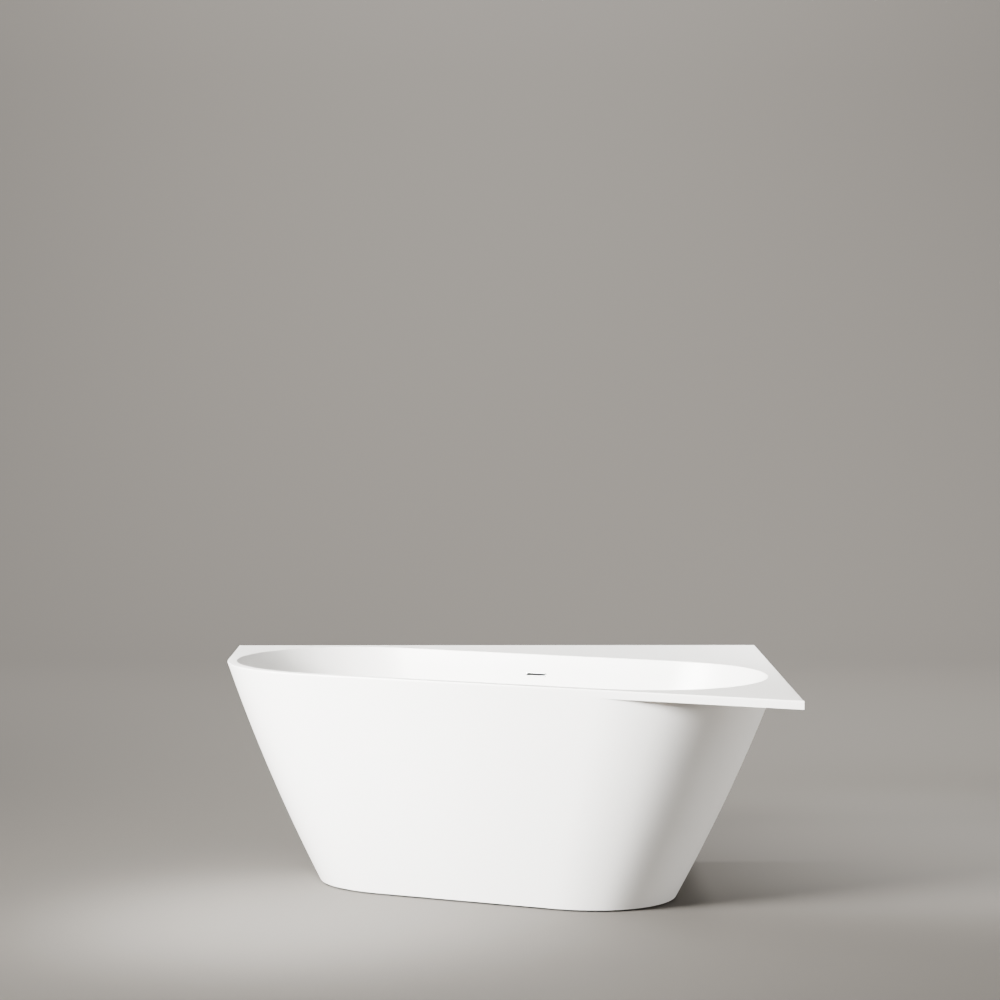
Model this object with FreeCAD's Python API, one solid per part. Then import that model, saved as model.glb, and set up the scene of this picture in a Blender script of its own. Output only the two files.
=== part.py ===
import FreeCAD, Part
import math
import os

# Corner bathtub: a one-piece bath with a thin deck, standing inside a tapered skin that is open
# towards the wall. All sizes are in millimetres. The origin is on the floor below the middle of
# the deck's bounding rectangle, with +X along the back wall, +Y towards it and +Z up.

os.makedirs("parts", exist_ok=True)

# Deck
WIDTH = 1500.0
DEPTH = 1190.0
HEIGHT = 595.0
RIM = 22.0
FRONT_ANGLE = 22.6
STRIP = 27.3
SKIN = 6.0
EDGE_ROUND = 3.0
LIP_GAP = 1.0

# Basin opening and floor outlines, both three-centred ovals with one shoulder angle
SHOULDER_ANGLE = 22.3
OPENING_STRAIGHT = 405.0
OPENING_SHOULDER = 425.0
OPENING_END = 300.0
FLOOR_LEVEL = 160.0
FLOOR_STRAIGHT = 285.0
FLOOR_SHOULDER = 330.0
FLOOR_END = 215.0
FLOOR_BLEND = 35.0

# Tapered outer skin
PANEL_SKIN = 5.0
PANEL_GAP = 5.0
FOOT_STRAIGHT = 248.0
FOOT_SHOULDER = 331.0
FOOT_END = 211.0
FOOT_SHIFT_ALONG = 12.6
FOOT_SHIFT_FRONT = 34.7
BELLY = 12.0
PANEL_OPEN_HALF = 330.0
PANEL_FLANGE = 25.0

# Floor board and cross rails
BOARD = 15.0
BOARD_INSET = 40.0
BOARD_NOTCH = 120.0
RAIL_AT = 250.0
RAIL_WIDE = 40.0
RAIL_TALL = 30.0
RAIL_WALL = 2.5
RAIL_FRONT = 225.0
RAIL_BACK = 195.0
TAB = 30.0
TAB_THICK = 3.0
SCREW_D = 5.0
SCREW_HEAD_D = 10.0
SCREW_LENGTH = 12.0
BOLT_D = 6.0
BRACKET_WIDE = 30.0
BRACKET_THICK = 3.0

# Levelling feet
FOOT_FRONT = 165.0
FOOT_BACK = 150.0
PAD_D = 50.0
PAD_THICK = 10.0
PAD_HUB_D = 24.0
PAD_HUB_TOP = 22.0
ROD_D = 12.0
ROD_TOP = 128.0
HEX_FLATS = 15.0
NUT_FLATS = 19.0
NUT_THICK = 10.0
RUNNING = 0.05

# Waste, on the basin floor near the back wall
WASTE_BACK = 140.0
COVER_D = 69.0
COVER_THICK = 4.0
COVER_LIFT = 9.0
POCKET_D = 77.5
POCKET_DEPTH = 10.0
WASTE_HOLE_D = 52.0
SLEEVE_D = 48.0
SLEEVE_BORE = 43.0
STEM_D = 8.0
STEM_COLLAR = 2.0
SPRING_D = 10.0
SPRING_WIRE = 0.8
SPRING_TURNS = 3.5
SPRING_RUNS = 14
SPRING_ROOM = 7.0
PORT_D = 25.0
PORT_BORE = 20.0
PORT_LEVEL = 122.0
PORT_REACH = 62.0
SPIGOT_D = 47.8
SPIGOT_BOTTOM = 94.0

# Trap and outlet pipe
BOTTLE_D = 84.0
BOTTLE_TOP = 85.0
TRAP_WALL = 3.0
TRAP_BOTTOM = 8.0
DIP_D = 40.0
OUTLET_LEVEL = 60.0
OUTLET_D = 46.0
PIPE_D = 40.0
PIPE_WALL = 2.0
PIPE_WALL_GAP = 20.0
SOCKET_DEPTH = 40.0
SOCKET_EASE = 0.2

# Overflow slot in the back wall of the basin
SLOT_DROP = 56.0
SLOT_LONG = 60.0
SLOT_TALL = 7.0
LINER_WALL = 1.0
COLLAR = 1.2
CHAMBER_SIDE = 5.0
CHAMBER_EAR = 10.0
CHAMBER_TALL = 36.0
CHAMBER_BOX_TALL = 28.0
CHAMBER_DEEP = 29.0
CHAMBER_WALL = 3.0
GASKET = 2.0
HOSE_WALL = 2.0
HOSE_GRIP = 18.0
CLAMP_WIDE = 10.0
CLAMP_THICK = 1.2

# Derived positions
TURN = math.radians(FRONT_ANGLE)
SHOULDER = math.radians(SHOULDER_ANGLE)
ALONG = FreeCAD.Vector(math.cos(TURN), -math.sin(TURN), 0)
BACK = FreeCAD.Vector(math.sin(TURN), math.cos(TURN), 0)
UP = FreeCAD.Vector(0, 0, 1)
UNDER_RIM = HEIGHT - RIM
UNDER_DECK = HEIGHT - SKIN
PANEL_TALL = HEIGHT - PANEL_GAP


def half_breadth(shoulder, end):
    return shoulder * (1 - math.cos(SHOULDER)) + end * math.cos(SHOULDER)


def end_centre(straight, shoulder, end):
    return straight + (shoulder - end) * math.sin(SHOULDER)


OPENING_HALF = half_breadth(OPENING_SHOULDER, OPENING_END)
FLOOR_HALF = half_breadth(FLOOR_SHOULDER, FLOOR_END)
RIM_HALF = OPENING_HALF + STRIP
LEFT_CENTRE = end_centre(OPENING_STRAIGHT, OPENING_SHOULDER, OPENING_END)
CENTRE_X = OPENING_END + STRIP + LEFT_CENTRE * math.cos(TURN) - WIDTH / 2
CENTRE_Y = ((WIDTH / 2 - CENTRE_X) * math.sin(TURN) + RIM_HALF) / math.cos(TURN) - DEPTH / 2
CENTRE = FreeCAD.Vector(CENTRE_X, CENTRE_Y, 0)


def place(along, back, level):
    return CENTRE + ALONG * along + BACK * back + UP * level


def save(shape, name):
    shape.exportStep("parts/" + name + ".step")


def fuse_all(shapes):
    whole = shapes[0]
    for shape in shapes[1:]:
        whole = whole.fuse(shape)
    return whole.removeSplitter()


# One outline of the bath's family of ovals: two straights, four shoulder arcs, four end arcs
def oval(straight, shoulder, end, level, along=0.0, back=0.0):
    half = half_breadth(shoulder, end)
    centre = end_centre(straight, shoulder, end)

    def arc_point(middle, drop, radius, angle, side, front):
        a = middle + radius * math.sin(angle)
        b = drop + radius * math.cos(angle)
        return place(along + side * a, back + front * b, level)

    quarter = math.pi / 2
    edges = []
    for side, front in ((1, -1), (1, 1), (-1, 1), (-1, -1)):
        drop = half - shoulder
        shoulder_points = [
            arc_point(straight, drop, shoulder, SHOULDER * step, side, front)
            for step in (0.0, 0.5, 1.0)
        ]
        end_points = [
            arc_point(centre, 0.0, end, SHOULDER + (quarter - SHOULDER) * step, side, front)
            for step in (0.0, 0.5, 1.0)
        ]
        arcs = [
            Part.Arc(*shoulder_points).toShape(),
            Part.Arc(*end_points).toShape(),
        ]
        if side * front > 0:
            arcs.reverse()
        edges.extend(arcs)
        if side * front > 0:
            start = place(along + side * straight, back + front * half, level)
            stop = place(along - side * straight, back + front * half, level)
            edges.append(Part.makeLine(start, stop))
    return Part.Wire(Part.__sortEdges__(edges))


# The basin's inner surface at a level, grown outwards by a wall thickness
def basin_outline(level, grow=0.0):
    fall = (HEIGHT - level) / (HEIGHT - FLOOR_LEVEL)
    straight = OPENING_STRAIGHT + (FLOOR_STRAIGHT - OPENING_STRAIGHT) * fall
    shoulder = OPENING_SHOULDER + (FLOOR_SHOULDER - OPENING_SHOULDER) * fall
    end = OPENING_END + (FLOOR_END - OPENING_END) * fall
    return oval(straight, shoulder + grow, end + grow, level)


# The outer skin's outer surface at a level, with its slight belly
def panel_sizes(level, grow):
    fall = (HEIGHT - level) / PANEL_TALL
    belly = 4 * BELLY * fall * (1 - fall)
    straight = OPENING_STRAIGHT + (FOOT_STRAIGHT - OPENING_STRAIGHT) * fall
    top_shoulder = OPENING_SHOULDER + STRIP
    top_end = OPENING_END + STRIP
    shoulder = top_shoulder + (FOOT_SHOULDER - top_shoulder) * fall + belly + grow
    end = top_end + (FOOT_END - top_end) * fall + belly + grow
    return straight, shoulder, end, FOOT_SHIFT_ALONG * fall, -FOOT_SHIFT_FRONT * fall


def panel_outline(level, grow=0.0):
    straight, shoulder, end, along, back = panel_sizes(level, grow)
    return oval(straight, shoulder, end, level, along, back)


def panel_front(level):
    straight, shoulder, end, along, back = panel_sizes(level, 0.0)
    return back - half_breadth(shoulder, end)


def prism(wire, tall):
    return Part.Face(wire).extrude(UP * tall)


# The angular part of the deck, in line with the oval's straight front
def corner_outline(inset, level, front_back, over=0.0):
    right = WIDTH / 2 - inset + over
    right_along = (right - CENTRE_X - front_back * math.sin(TURN)) / math.cos(TURN)
    left_middle = place(-LEFT_CENTRE, 0.0, level)
    points = [
        FreeCAD.Vector(over - right, DEPTH / 2 - inset, level),
        FreeCAD.Vector(over - right, left_middle.y, level),
        place(0.0, 0.0, level),
        place(OPENING_STRAIGHT - RIM, front_back, level),
        place(right_along, front_back, level),
        FreeCAD.Vector(right, DEPTH / 2 - inset, level),
    ]
    return Part.makePolygon(points + points[:1])


# A solid between two ovals of one family, flat between their straights and ruled between
# their arcs
def tapered(low, high):
    faces = [Part.Face(low), Part.Face(high)]
    for one, two in zip(low.Edges, high.Edges):
        if one.Curve.TypeId == "Part::GeomLine":
            start, stop = [vertex.Point for vertex in one.Vertexes]
            above = sorted(
                [vertex.Point for vertex in two.Vertexes],
                key=lambda point: point.distanceToPoint(stop),
            )
            faces.append(Part.Face(Part.makePolygon([start, stop] + above + [start])))
        else:
            faces.append(Part.makeRuledSurface(one, two))
    shell = Part.makeShell(faces)
    shell.sewShape()
    return Part.makeSolid(Part.makeShell(Part.makeSolid(shell).Faces))


def bowl(grow, top, bottom, blend):
    body = tapered(basin_outline(bottom, grow), basin_outline(top, grow))
    foot_edges = [e for e in body.Edges if e.BoundBox.ZMax < bottom + 0.01]
    return body.makeFillet(blend, foot_edges)


# Everything in the waste stands on one vertical axis
WASTE = place(0.0, WASTE_BACK, 0.0)


def post(diameter, bottom, top, at=WASTE):
    return Part.makeCylinder(diameter / 2, top - bottom, at + UP * bottom)


def ring(outer, inner, bottom, top, at=WASTE):
    return post(outer, bottom, top, at).cut(post(inner, bottom - 1, top + 1, at))


def hexagon(flats, bottom, top, at):
    radius = flats / 2 / math.cos(math.pi / 6)
    corners = [
        at + FreeCAD.Vector(
            radius * math.cos(math.pi / 3 * i), radius * math.sin(math.pi / 3 * i), bottom
        )
        for i in range(7)
    ]
    return prism(Part.makePolygon(corners), top - bottom)


# A box lying along the bath's own axes, given by its middle and full sizes
def along_box(along, back, low, long, wide, tall):
    box = Part.makeBox(long, wide, tall, FreeCAD.Vector(-long / 2, -wide / 2, 0))
    box.Placement = FreeCAD.Placement(
        place(along, back, low), FreeCAD.Rotation(UP, -FRONT_ANGLE)
    )
    return box


# ---- One-piece bath: deck, turned-down edge, basin and waste pocket ----
rim_taper = tapered(panel_outline(UNDER_RIM), panel_outline(HEIGHT))
front_low = panel_front(UNDER_RIM)
front_high = panel_front(HEIGHT)
# the corner's front edge carries on the slope of the skin's front
corner_low = corner_outline(0.0, UNDER_RIM, front_low, RIM)
corner_high = corner_outline(0.0, HEIGHT, front_high, RIM)
rim_corner = Part.makeLoft([corner_low, corner_high], True, True)
rim_corner = rim_corner.common(
    Part.makeBox(WIDTH, DEPTH, HEIGHT, FreeCAD.Vector(-WIDTH / 2, -DEPTH / 2, 0))
)
recess_oval = prism(panel_outline(UNDER_RIM, -SKIN), RIM - SKIN)
recess_corner = prism(corner_outline(SKIN, UNDER_RIM, front_low + SKIN), RIM - SKIN)
pocket_floor = FLOOR_LEVEL - POCKET_DEPTH
boss_bottom = pocket_floor - SKIN

deck = fuse_all([rim_taper, rim_corner]).cut(fuse_all([recess_oval, recess_corner]))
bath = deck.fuse(bowl(SKIN, HEIGHT, FLOOR_LEVEL - SKIN, FLOOR_BLEND + SKIN))
bath = bath.fuse(post(POCKET_D + 2 * SKIN, boss_bottom, FLOOR_LEVEL))
bath = bath.cut(bowl(0.0, HEIGHT, FLOOR_LEVEL, FLOOR_BLEND))
bath = bath.cut(post(POCKET_D, pocket_floor, FLOOR_LEVEL + 1))
bath = bath.cut(post(WASTE_HOLE_D, boss_bottom - 1, FLOOR_LEVEL))
bath = bath.removeSplitter()
top_edges = [e for e in bath.Edges if e.BoundBox.ZMin > HEIGHT - 0.01]
rounded = [e for e in top_edges if e.BoundBox.XMax > 1.0 - WIDTH / 2]
bath = bath.makeFillet(EDGE_ROUND, rounded)

# ---- Overflow frame: x along the slot, y out through the wall, z up the wall ----
SLOT_LEVEL = HEIGHT - SLOT_DROP
lean = math.atan((OPENING_HALF - FLOOR_HALF) / (HEIGHT - FLOOR_LEVEL))
slot_back = FLOOR_HALF + (SLOT_LEVEL - FLOOR_LEVEL) * math.tan(lean)
out_of_wall = BACK * math.cos(lean) - UP * math.sin(lean)
up_the_wall = BACK * math.sin(lean) + UP * math.cos(lean)
slot_place = FreeCAD.Placement(
    place(0.0, slot_back, SLOT_LEVEL),
    FreeCAD.Rotation(ALONG, out_of_wall, up_the_wall, "ZYX"),
)
wall_out = SKIN * math.cos(lean)


def slot_solid(long, tall, near, far):
    radius = tall / 2
    reach = long / 2 - radius
    body = Part.makeBox(
        2 * reach, far - near, tall, FreeCAD.Vector(-reach, near, -radius)
    )
    for side in (-1, 1):
        start = FreeCAD.Vector(side * reach, near, 0)
        body = body.fuse(
            Part.makeCylinder(radius, far - near, start, FreeCAD.Vector(0, 1, 0))
        )
    body = body.removeSplitter()
    body.Placement = slot_place
    return body


def slot_box(long, tall, near, far, lift=0.0):
    body = Part.makeBox(
        long, far - near, tall, FreeCAD.Vector(-long / 2, near, lift - tall / 2)
    )
    body.Placement = slot_place
    return body


def slot_rod(diameter, x, near, far):
    body = Part.makeCylinder(
        diameter / 2, far - near, FreeCAD.Vector(x, near, 0), FreeCAD.Vector(0, 1, 0)
    )
    body.Placement = slot_place
    return body


chamber_box_long = SLOT_LONG + 2 * CHAMBER_SIDE
chamber_long = chamber_box_long + 2 * CHAMBER_EAR
screw_x = (chamber_box_long + CHAMBER_EAR) / 2
chamber_near = wall_out + GASKET
flange_far = chamber_near + CHAMBER_WALL
screw_tip = wall_out - 3.5
bath = bath.cut(slot_solid(SLOT_LONG, SLOT_TALL, -20, 20))
for side in (-1, 1):
    bath = bath.cut(slot_rod(3.0 + 2 * RUNNING, side * screw_x, screw_tip, 20))
save(bath, "bath")

# ---- Deck stiffening board, bonded into the recess under the deck ----
board_oval = prism(panel_outline(UNDER_RIM, -SKIN - LIP_GAP), RIM - SKIN)
board_inset = SKIN + LIP_GAP
board_corner = prism(
    corner_outline(board_inset, UNDER_RIM, front_low + board_inset), RIM - SKIN
)
deck_board = fuse_all([board_oval, board_corner])
bowl_hole = oval(
    OPENING_STRAIGHT,
    OPENING_SHOULDER + SKIN + LIP_GAP,
    OPENING_END + SKIN + LIP_GAP,
    UNDER_RIM - 1,
)
deck_board = deck_board.cut(prism(bowl_hole, RIM))
save(deck_board, "deck_board")

# ---- Tapered outer skin, open towards the wall, with a flange turned in at its foot ----
levels = [PANEL_GAP + (UNDER_RIM - PANEL_GAP) * i / 4 for i in range(5)]
outside = Part.makeLoft([panel_outline(z) for z in levels], True, False)
inside = Part.makeLoft([panel_outline(z, -PANEL_SKIN) for z in levels], True, False)
flange_hole = prism(panel_outline(PANEL_GAP, -PANEL_FLANGE), UNDER_RIM)
above_flange = inside.common(along_box(0, 0, PANEL_GAP + PANEL_SKIN, 2000, 2000, UNDER_RIM))
panel = outside.cut(above_flange).cut(flange_hole)
panel = panel.cut(along_box(0, 500, 0, 2 * PANEL_OPEN_HALF, 1000, HEIGHT))

# ---- Board bonded under the basin floor, notched around the waste ----
board_top = FLOOR_LEVEL - SKIN
board_bottom = board_top - BOARD
floor_board = prism(
    oval(
        FLOOR_STRAIGHT,
        FLOOR_SHOULDER - BOARD_INSET,
        FLOOR_END - BOARD_INSET,
        board_bottom,
    ),
    BOARD,
)
floor_board = floor_board.cut(post(BOARD_NOTCH, board_bottom - 1, board_top + 1))
floor_board = floor_board.cut(
    along_box(0, WASTE_BACK + 100, board_bottom - 1, BOARD_NOTCH, 200, BOARD + 2)
)

# ---- Cross rails: closed box tubes with screw tabs, nuts and feet below ----
rail_bottom = board_bottom - RAIL_TALL
rail_middle = (RAIL_BACK - RAIL_FRONT) / 2
rail_long = RAIL_BACK + RAIL_FRONT
bolt_level = rail_bottom + RAIL_TALL / 2
rod_hole = ROD_D + 1.0
screws = []
bolts = []
brackets = []
flange_screws = []
nuts = []
foot_number = 0
flange_top = PANEL_GAP + PANEL_SKIN


def cross_bolt(diameter, head, along, near, far, level):
    shank = Part.makeCylinder(diameter / 2, far - near, place(along, near, level), BACK)
    cap = Part.makeCylinder(head / 2, 4, place(along, near - 4, level), BACK)
    return shank, cap


for side, word in ((-1, "left"), (1, "right")):
    along = side * RAIL_AT
    rail = along_box(along, rail_middle, rail_bottom, RAIL_WIDE, rail_long, RAIL_TALL)
    rail = rail.cut(
        along_box(
            along,
            rail_middle,
            rail_bottom + RAIL_WALL,
            RAIL_WIDE - 2 * RAIL_WALL,
            rail_long - 2 * RAIL_WALL,
            RAIL_TALL - 2 * RAIL_WALL,
        )
    )
    for tab_side in (-1, 1):
        for tab_back in (-RAIL_FRONT / 2, RAIL_BACK / 2):
            tab_along = along + tab_side * (RAIL_WIDE + TAB) / 2
            tab_low = board_bottom - TAB_THICK
            at = place(tab_along, tab_back, 0)
            rail = rail.fuse(along_box(tab_along, tab_back, tab_low, TAB, TAB, TAB_THICK))
            rail = rail.cut(post(SCREW_D + 1, tab_low - 1, board_bottom + 1, at))
            pilot = SCREW_D + 2 * RUNNING
            floor_board = floor_board.cut(
                post(pilot, board_bottom - 1, board_bottom + SCREW_LENGTH, at)
            )
            screw = post(SCREW_D, tab_low, board_bottom + SCREW_LENGTH - 1, at)
            screws.append(screw.fuse(post(SCREW_HEAD_D, tab_low - 3, tab_low, at)))
    shank, cap = cross_bolt(
        BOLT_D, 10, along, -RAIL_FRONT - BRACKET_THICK, -RAIL_FRONT + 14, bolt_level
    )
    hole = Part.makeCylinder(
        BOLT_D / 2 + RUNNING, 40, place(along, -RAIL_FRONT - 20, bolt_level), BACK
    )
    for foot_back in (-FOOT_FRONT, FOOT_BACK):
        foot_number += 1
        at = place(along, foot_back, 0)
        rail = rail.cut(post(rod_hole, rail_bottom - 1, rail_bottom + RAIL_WALL + 1, at))
        for low in (rail_bottom - NUT_THICK, rail_bottom - 2 * NUT_THICK):
            nut = hexagon(NUT_FLATS, low, low + NUT_THICK, at)
            nuts.append(nut.cut(post(ROD_D + 2 * RUNNING, low - 1, low + NUT_THICK + 1, at)))
        pad = post(PAD_D, 0, PAD_THICK, at)
        pad = pad.makeChamfer(2.0, [e for e in pad.Edges if e.BoundBox.ZMin > 1])
        pad = pad.fuse(post(PAD_HUB_D, 0, PAD_HUB_TOP, at))
        pad = pad.cut(post(ROD_D + 2 * RUNNING, PAD_THICK, PAD_HUB_TOP + 1, at))
        save(pad.removeSplitter(), "foot_%d_pad" % foot_number)
        rod = post(ROD_D, PAD_THICK, ROD_TOP, at)
        rod = rod.fuse(hexagon(HEX_FLATS, PAD_HUB_TOP + 1, PAD_HUB_TOP + 9, at))
        save(rod.removeSplitter(), "foot_%d_rod" % foot_number)
    rail = rail.cut(hole)
    save(rail.removeSplitter(), "rail_" + word)
    bolts.append(shank.fuse(cap))
    bracket_back = -RAIL_FRONT - BRACKET_THICK / 2
    leg_reach = 22.0
    bracket = along_box(
        along, bracket_back, flange_top, BRACKET_WIDE, BRACKET_THICK, board_bottom - flange_top
    )
    bracket = bracket.fuse(
        along_box(
            along,
            -RAIL_FRONT - leg_reach / 2,
            flange_top,
            BRACKET_WIDE,
            leg_reach,
            BRACKET_THICK,
        )
    )
    grip = place(along, -RAIL_FRONT - leg_reach + 7, 0)
    bracket = bracket.cut(hole).cut(post(4.5, flange_top - 1, flange_top + 10, grip))
    brackets.append(bracket.removeSplitter())
    panel = panel.cut(post(4 + 2 * RUNNING, PANEL_GAP - 1, flange_top + 1, grip))
    screw = post(4, PANEL_GAP, flange_top + BRACKET_THICK, grip)
    head = post(8, flange_top + BRACKET_THICK, flange_top + BRACKET_THICK + 2.5, grip)
    flange_screws.append(screw.fuse(head))

save(panel, "outer_skin")
save(floor_board, "floor_board")
save(Part.makeCompound(screws), "board_screws")
save(Part.makeCompound(bolts), "bracket_bolts")
save(Part.makeCompound(brackets), "skin_brackets")
save(Part.makeCompound(flange_screws), "flange_screws")
save(Part.makeCompound(nuts), "foot_nuts")

# ---- Pop-up waste ----
upper_gasket_top = pocket_floor + 1
flange_top_level = upper_gasket_top + 2.5
seal_top = FLOOR_LEVEL - COVER_THICK
sleeve_bottom = pocket_floor - 22
spider_top = pocket_floor - 11
spider_bottom = spider_top - 5
body_gasket_bottom = boss_bottom - GASKET
body_flange_bottom = body_gasket_bottom - 5
cavity_top = spider_bottom - 1
collar_bottom = cavity_top - 1 - COVER_LIFT - STEM_COLLAR
cavity_bottom = collar_bottom - SPRING_ROOM
cartridge_bottom = cavity_bottom - 2

save(ring(74, WASTE_HOLE_D - 1, pocket_floor, upper_gasket_top), "waste_upper_gasket")

flange = ring(74, SLEEVE_BORE, upper_gasket_top, flange_top_level)
flange = flange.fuse(ring(SLEEVE_D, SLEEVE_BORE, sleeve_bottom, flange_top_level))
flange = flange.fuse(post(20, spider_bottom, spider_top))
for spoke in range(3):
    arm = Part.makeBox(
        SLEEVE_BORE / 2 + 1, 3, spider_top - spider_bottom, FreeCAD.Vector(0, -1.5, 0)
    )
    arm.Placement = FreeCAD.Placement(
        WASTE + UP * spider_bottom, FreeCAD.Rotation(UP, 90 + 120 * spoke)
    )
    flange = flange.fuse(arm)
flange = flange.cut(post(12 + 2 * RUNNING, spider_bottom - 1, spider_top + 1))
save(flange.removeSplitter(), "waste_flange")

cartridge = fuse_all(
    [
        post(18, cartridge_bottom, spider_bottom),
        post(12, spider_bottom, spider_top),
        post(18, spider_top, spider_top + 4),
    ]
)
cartridge = cartridge.cut(post(STEM_D + 2 * RUNNING, cavity_top - 1, spider_top + 5))
cartridge = cartridge.cut(post(14, cavity_bottom, cavity_top))
save(cartridge, "waste_cartridge")

stem = post(STEM_D, collar_bottom, seal_top - 2).fuse(
    post(13, collar_bottom, collar_bottom + STEM_COLLAR)
)
save(stem.removeSplitter(), "lift_stem")

cover = post(COVER_D, seal_top, FLOOR_LEVEL)
cover = cover.makeChamfer(
    0.6, [e for e in cover.Edges if e.BoundBox.ZMin > FLOOR_LEVEL - 0.01]
)
cover = cover.fuse(post(20, seal_top - 9, seal_top))
cover = cover.cut(post(STEM_D, seal_top - 10, seal_top - 2))
save(cover.removeSplitter(), "waste_cover")
save(ring(60, 50, flange_top_level, seal_top), "cover_seal")

# The click spring, its coil drawn as short straight runs of an eight-sided wire
spring_tall = SPRING_ROOM - 2 * SPRING_WIRE
spring_steps = int(SPRING_TURNS * SPRING_RUNS)
coil_points = [
    WASTE
    + FreeCAD.Vector(
        SPRING_D / 2 * math.cos(2 * math.pi * i / SPRING_RUNS),
        SPRING_D / 2 * math.sin(2 * math.pi * i / SPRING_RUNS),
        cavity_bottom + SPRING_WIRE + spring_tall * i / spring_steps,
    )
    for i in range(spring_steps + 1)
]
wire_points = [
    coil_points[0]
    + FreeCAD.Vector(
        SPRING_WIRE / 2 * math.cos(math.pi / 4 * i),
        0,
        SPRING_WIRE / 2 * math.sin(math.pi / 4 * i),
    )
    for i in range(9)
]
coil = Part.makePolygon(coil_points)
save(coil.makePipeShell([Part.makePolygon(wire_points)], True, False, 1), "click_spring")

save(
    ring(POCKET_D + 2 * SKIN, WASTE_HOLE_D + 2, body_gasket_bottom, boss_bottom),
    "waste_lower_gasket",
)

cup_bottom = PORT_LEVEL - 10
body = post(POCKET_D + 2 * SKIN, body_flange_bottom, body_gasket_bottom)
body = body.fuse(post(62, cup_bottom, body_flange_bottom))
cone_bottom = cup_bottom - 6
body = body.fuse(
    Part.makeCone(SPIGOT_D / 2, 31, 6, WASTE + UP * cone_bottom)
)
body = body.fuse(post(SPIGOT_D, SPIGOT_BOTTOM, cone_bottom))
port_start = WASTE + UP * PORT_LEVEL
body = body.fuse(Part.makeCylinder(PORT_D / 2, PORT_REACH, port_start, BACK))
body = body.cut(post(SLEEVE_D + 2 * RUNNING, sleeve_bottom, body_gasket_bottom + 1))
body = body.cut(post(56, cup_bottom + 2, sleeve_bottom))
body = body.cut(Part.makeCone(20, 28, 6, WASTE + UP * (cup_bottom - 4)))
body = body.cut(post(40, SPIGOT_BOTTOM - 1, cup_bottom))
body = body.cut(Part.makeCylinder(PORT_BORE / 2, PORT_REACH + 1, port_start, BACK))
save(body.removeSplitter(), "waste_body")

# ---- Trap ----
collar_top = SPIGOT_BOTTOM - 2
collar_low = collar_top - 3
nut_bottom = collar_low - 3
nut_top = SPIGOT_BOTTOM + 9
trap_nut = post(64, nut_bottom, nut_top)
trap_nut = trap_nut.cut(post(SPIGOT_D + 2 * RUNNING, collar_low, nut_top + 1))
trap_nut = trap_nut.cut(post(DIP_D + 0.6, nut_bottom - 1, nut_top))
save(trap_nut, "trap_nut")
save(ring(46, DIP_D, collar_top, SPIGOT_BOTTOM), "trap_seal")

bottle_bottom = TRAP_BOTTOM + 2 * TRAP_WALL
dip_bottom = bottle_bottom + 3
trap = ring(BOTTLE_D, BOTTLE_D - 2 * TRAP_WALL, bottle_bottom, BOTTLE_TOP)
trap = trap.fuse(post(BOTTLE_D, BOTTLE_TOP - TRAP_WALL, BOTTLE_TOP))
outlet_face = BOTTLE_D / 2 + 34
away = FreeCAD.Vector(0, 1, 0)
outlet_axis = WASTE + UP * OUTLET_LEVEL
trap = trap.fuse(Part.makeCylinder(OUTLET_D / 2, outlet_face, outlet_axis, away))
trap = trap.cut(post(BOTTLE_D - 2 * TRAP_WALL, bottle_bottom - 1, BOTTLE_TOP - TRAP_WALL))
trap = trap.cut(Part.makeCylinder(PIPE_D / 2 + 0.2, outlet_face + 1, outlet_axis, away))
dip = ring(DIP_D, DIP_D - 2 * PIPE_WALL, dip_bottom, collar_top)
dip = dip.fuse(ring(SPIGOT_D - 1, DIP_D - 2 * PIPE_WALL, collar_low, collar_top))
trap = trap.cut(post(DIP_D - 1, 0, 200)).fuse(dip)
save(trap.removeSplitter(), "trap_body")

cup_top = bottle_bottom + 16
cup_d = BOTTLE_D + 2 * TRAP_WALL
cup = post(cup_d, TRAP_BOTTOM, cup_top)
cup = cup.cut(post(BOTTLE_D + 2 * RUNNING, TRAP_BOTTOM + TRAP_WALL, cup_top + 1))
save(cup, "trap_cup")
save(
    ring(BOTTLE_D, BOTTLE_D - 2 * TRAP_WALL - 2, TRAP_BOTTOM + TRAP_WALL, bottle_bottom),
    "trap_cup_seal",
)


def pipe_ring(outer, inner, near, far):
    start = outlet_axis + away * near
    body = Part.makeCylinder(outer / 2, far - near, start, away)
    return body.cut(Part.makeCylinder(inner / 2, far - near + 2, start - away, away))


pipe_start = outlet_face - 20
socket_mouth = DEPTH / 2 - PIPE_WALL_GAP - WASTE.y
socket_seat = socket_mouth - SOCKET_DEPTH
socket_bore = PIPE_D + 2 * SOCKET_EASE
socket_d = socket_bore + 2 * PIPE_WALL
pipe_bore = PIPE_D - 2 * PIPE_WALL
pipe = fuse_all(
    [
        pipe_ring(PIPE_D, pipe_bore, pipe_start, socket_seat),
        pipe_ring(socket_d, pipe_bore, socket_seat - PIPE_WALL, socket_seat),
        pipe_ring(socket_d, socket_bore, socket_seat, socket_mouth),
    ]
)
save(pipe, "outlet_pipe")
save(pipe_ring(OUTLET_D, PIPE_D + 2 * RUNNING, outlet_face, outlet_face + 3), "outlet_seal")
outlet_nut = pipe_ring(58, PIPE_D + 0.6, outlet_face - 14, outlet_face + 6)
outlet_nut = outlet_nut.cut(
    Part.makeCylinder(OUTLET_D / 2 + RUNNING, 17, outlet_axis + away * (outlet_face - 14), away)
)
save(outlet_nut, "outlet_nut")

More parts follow.
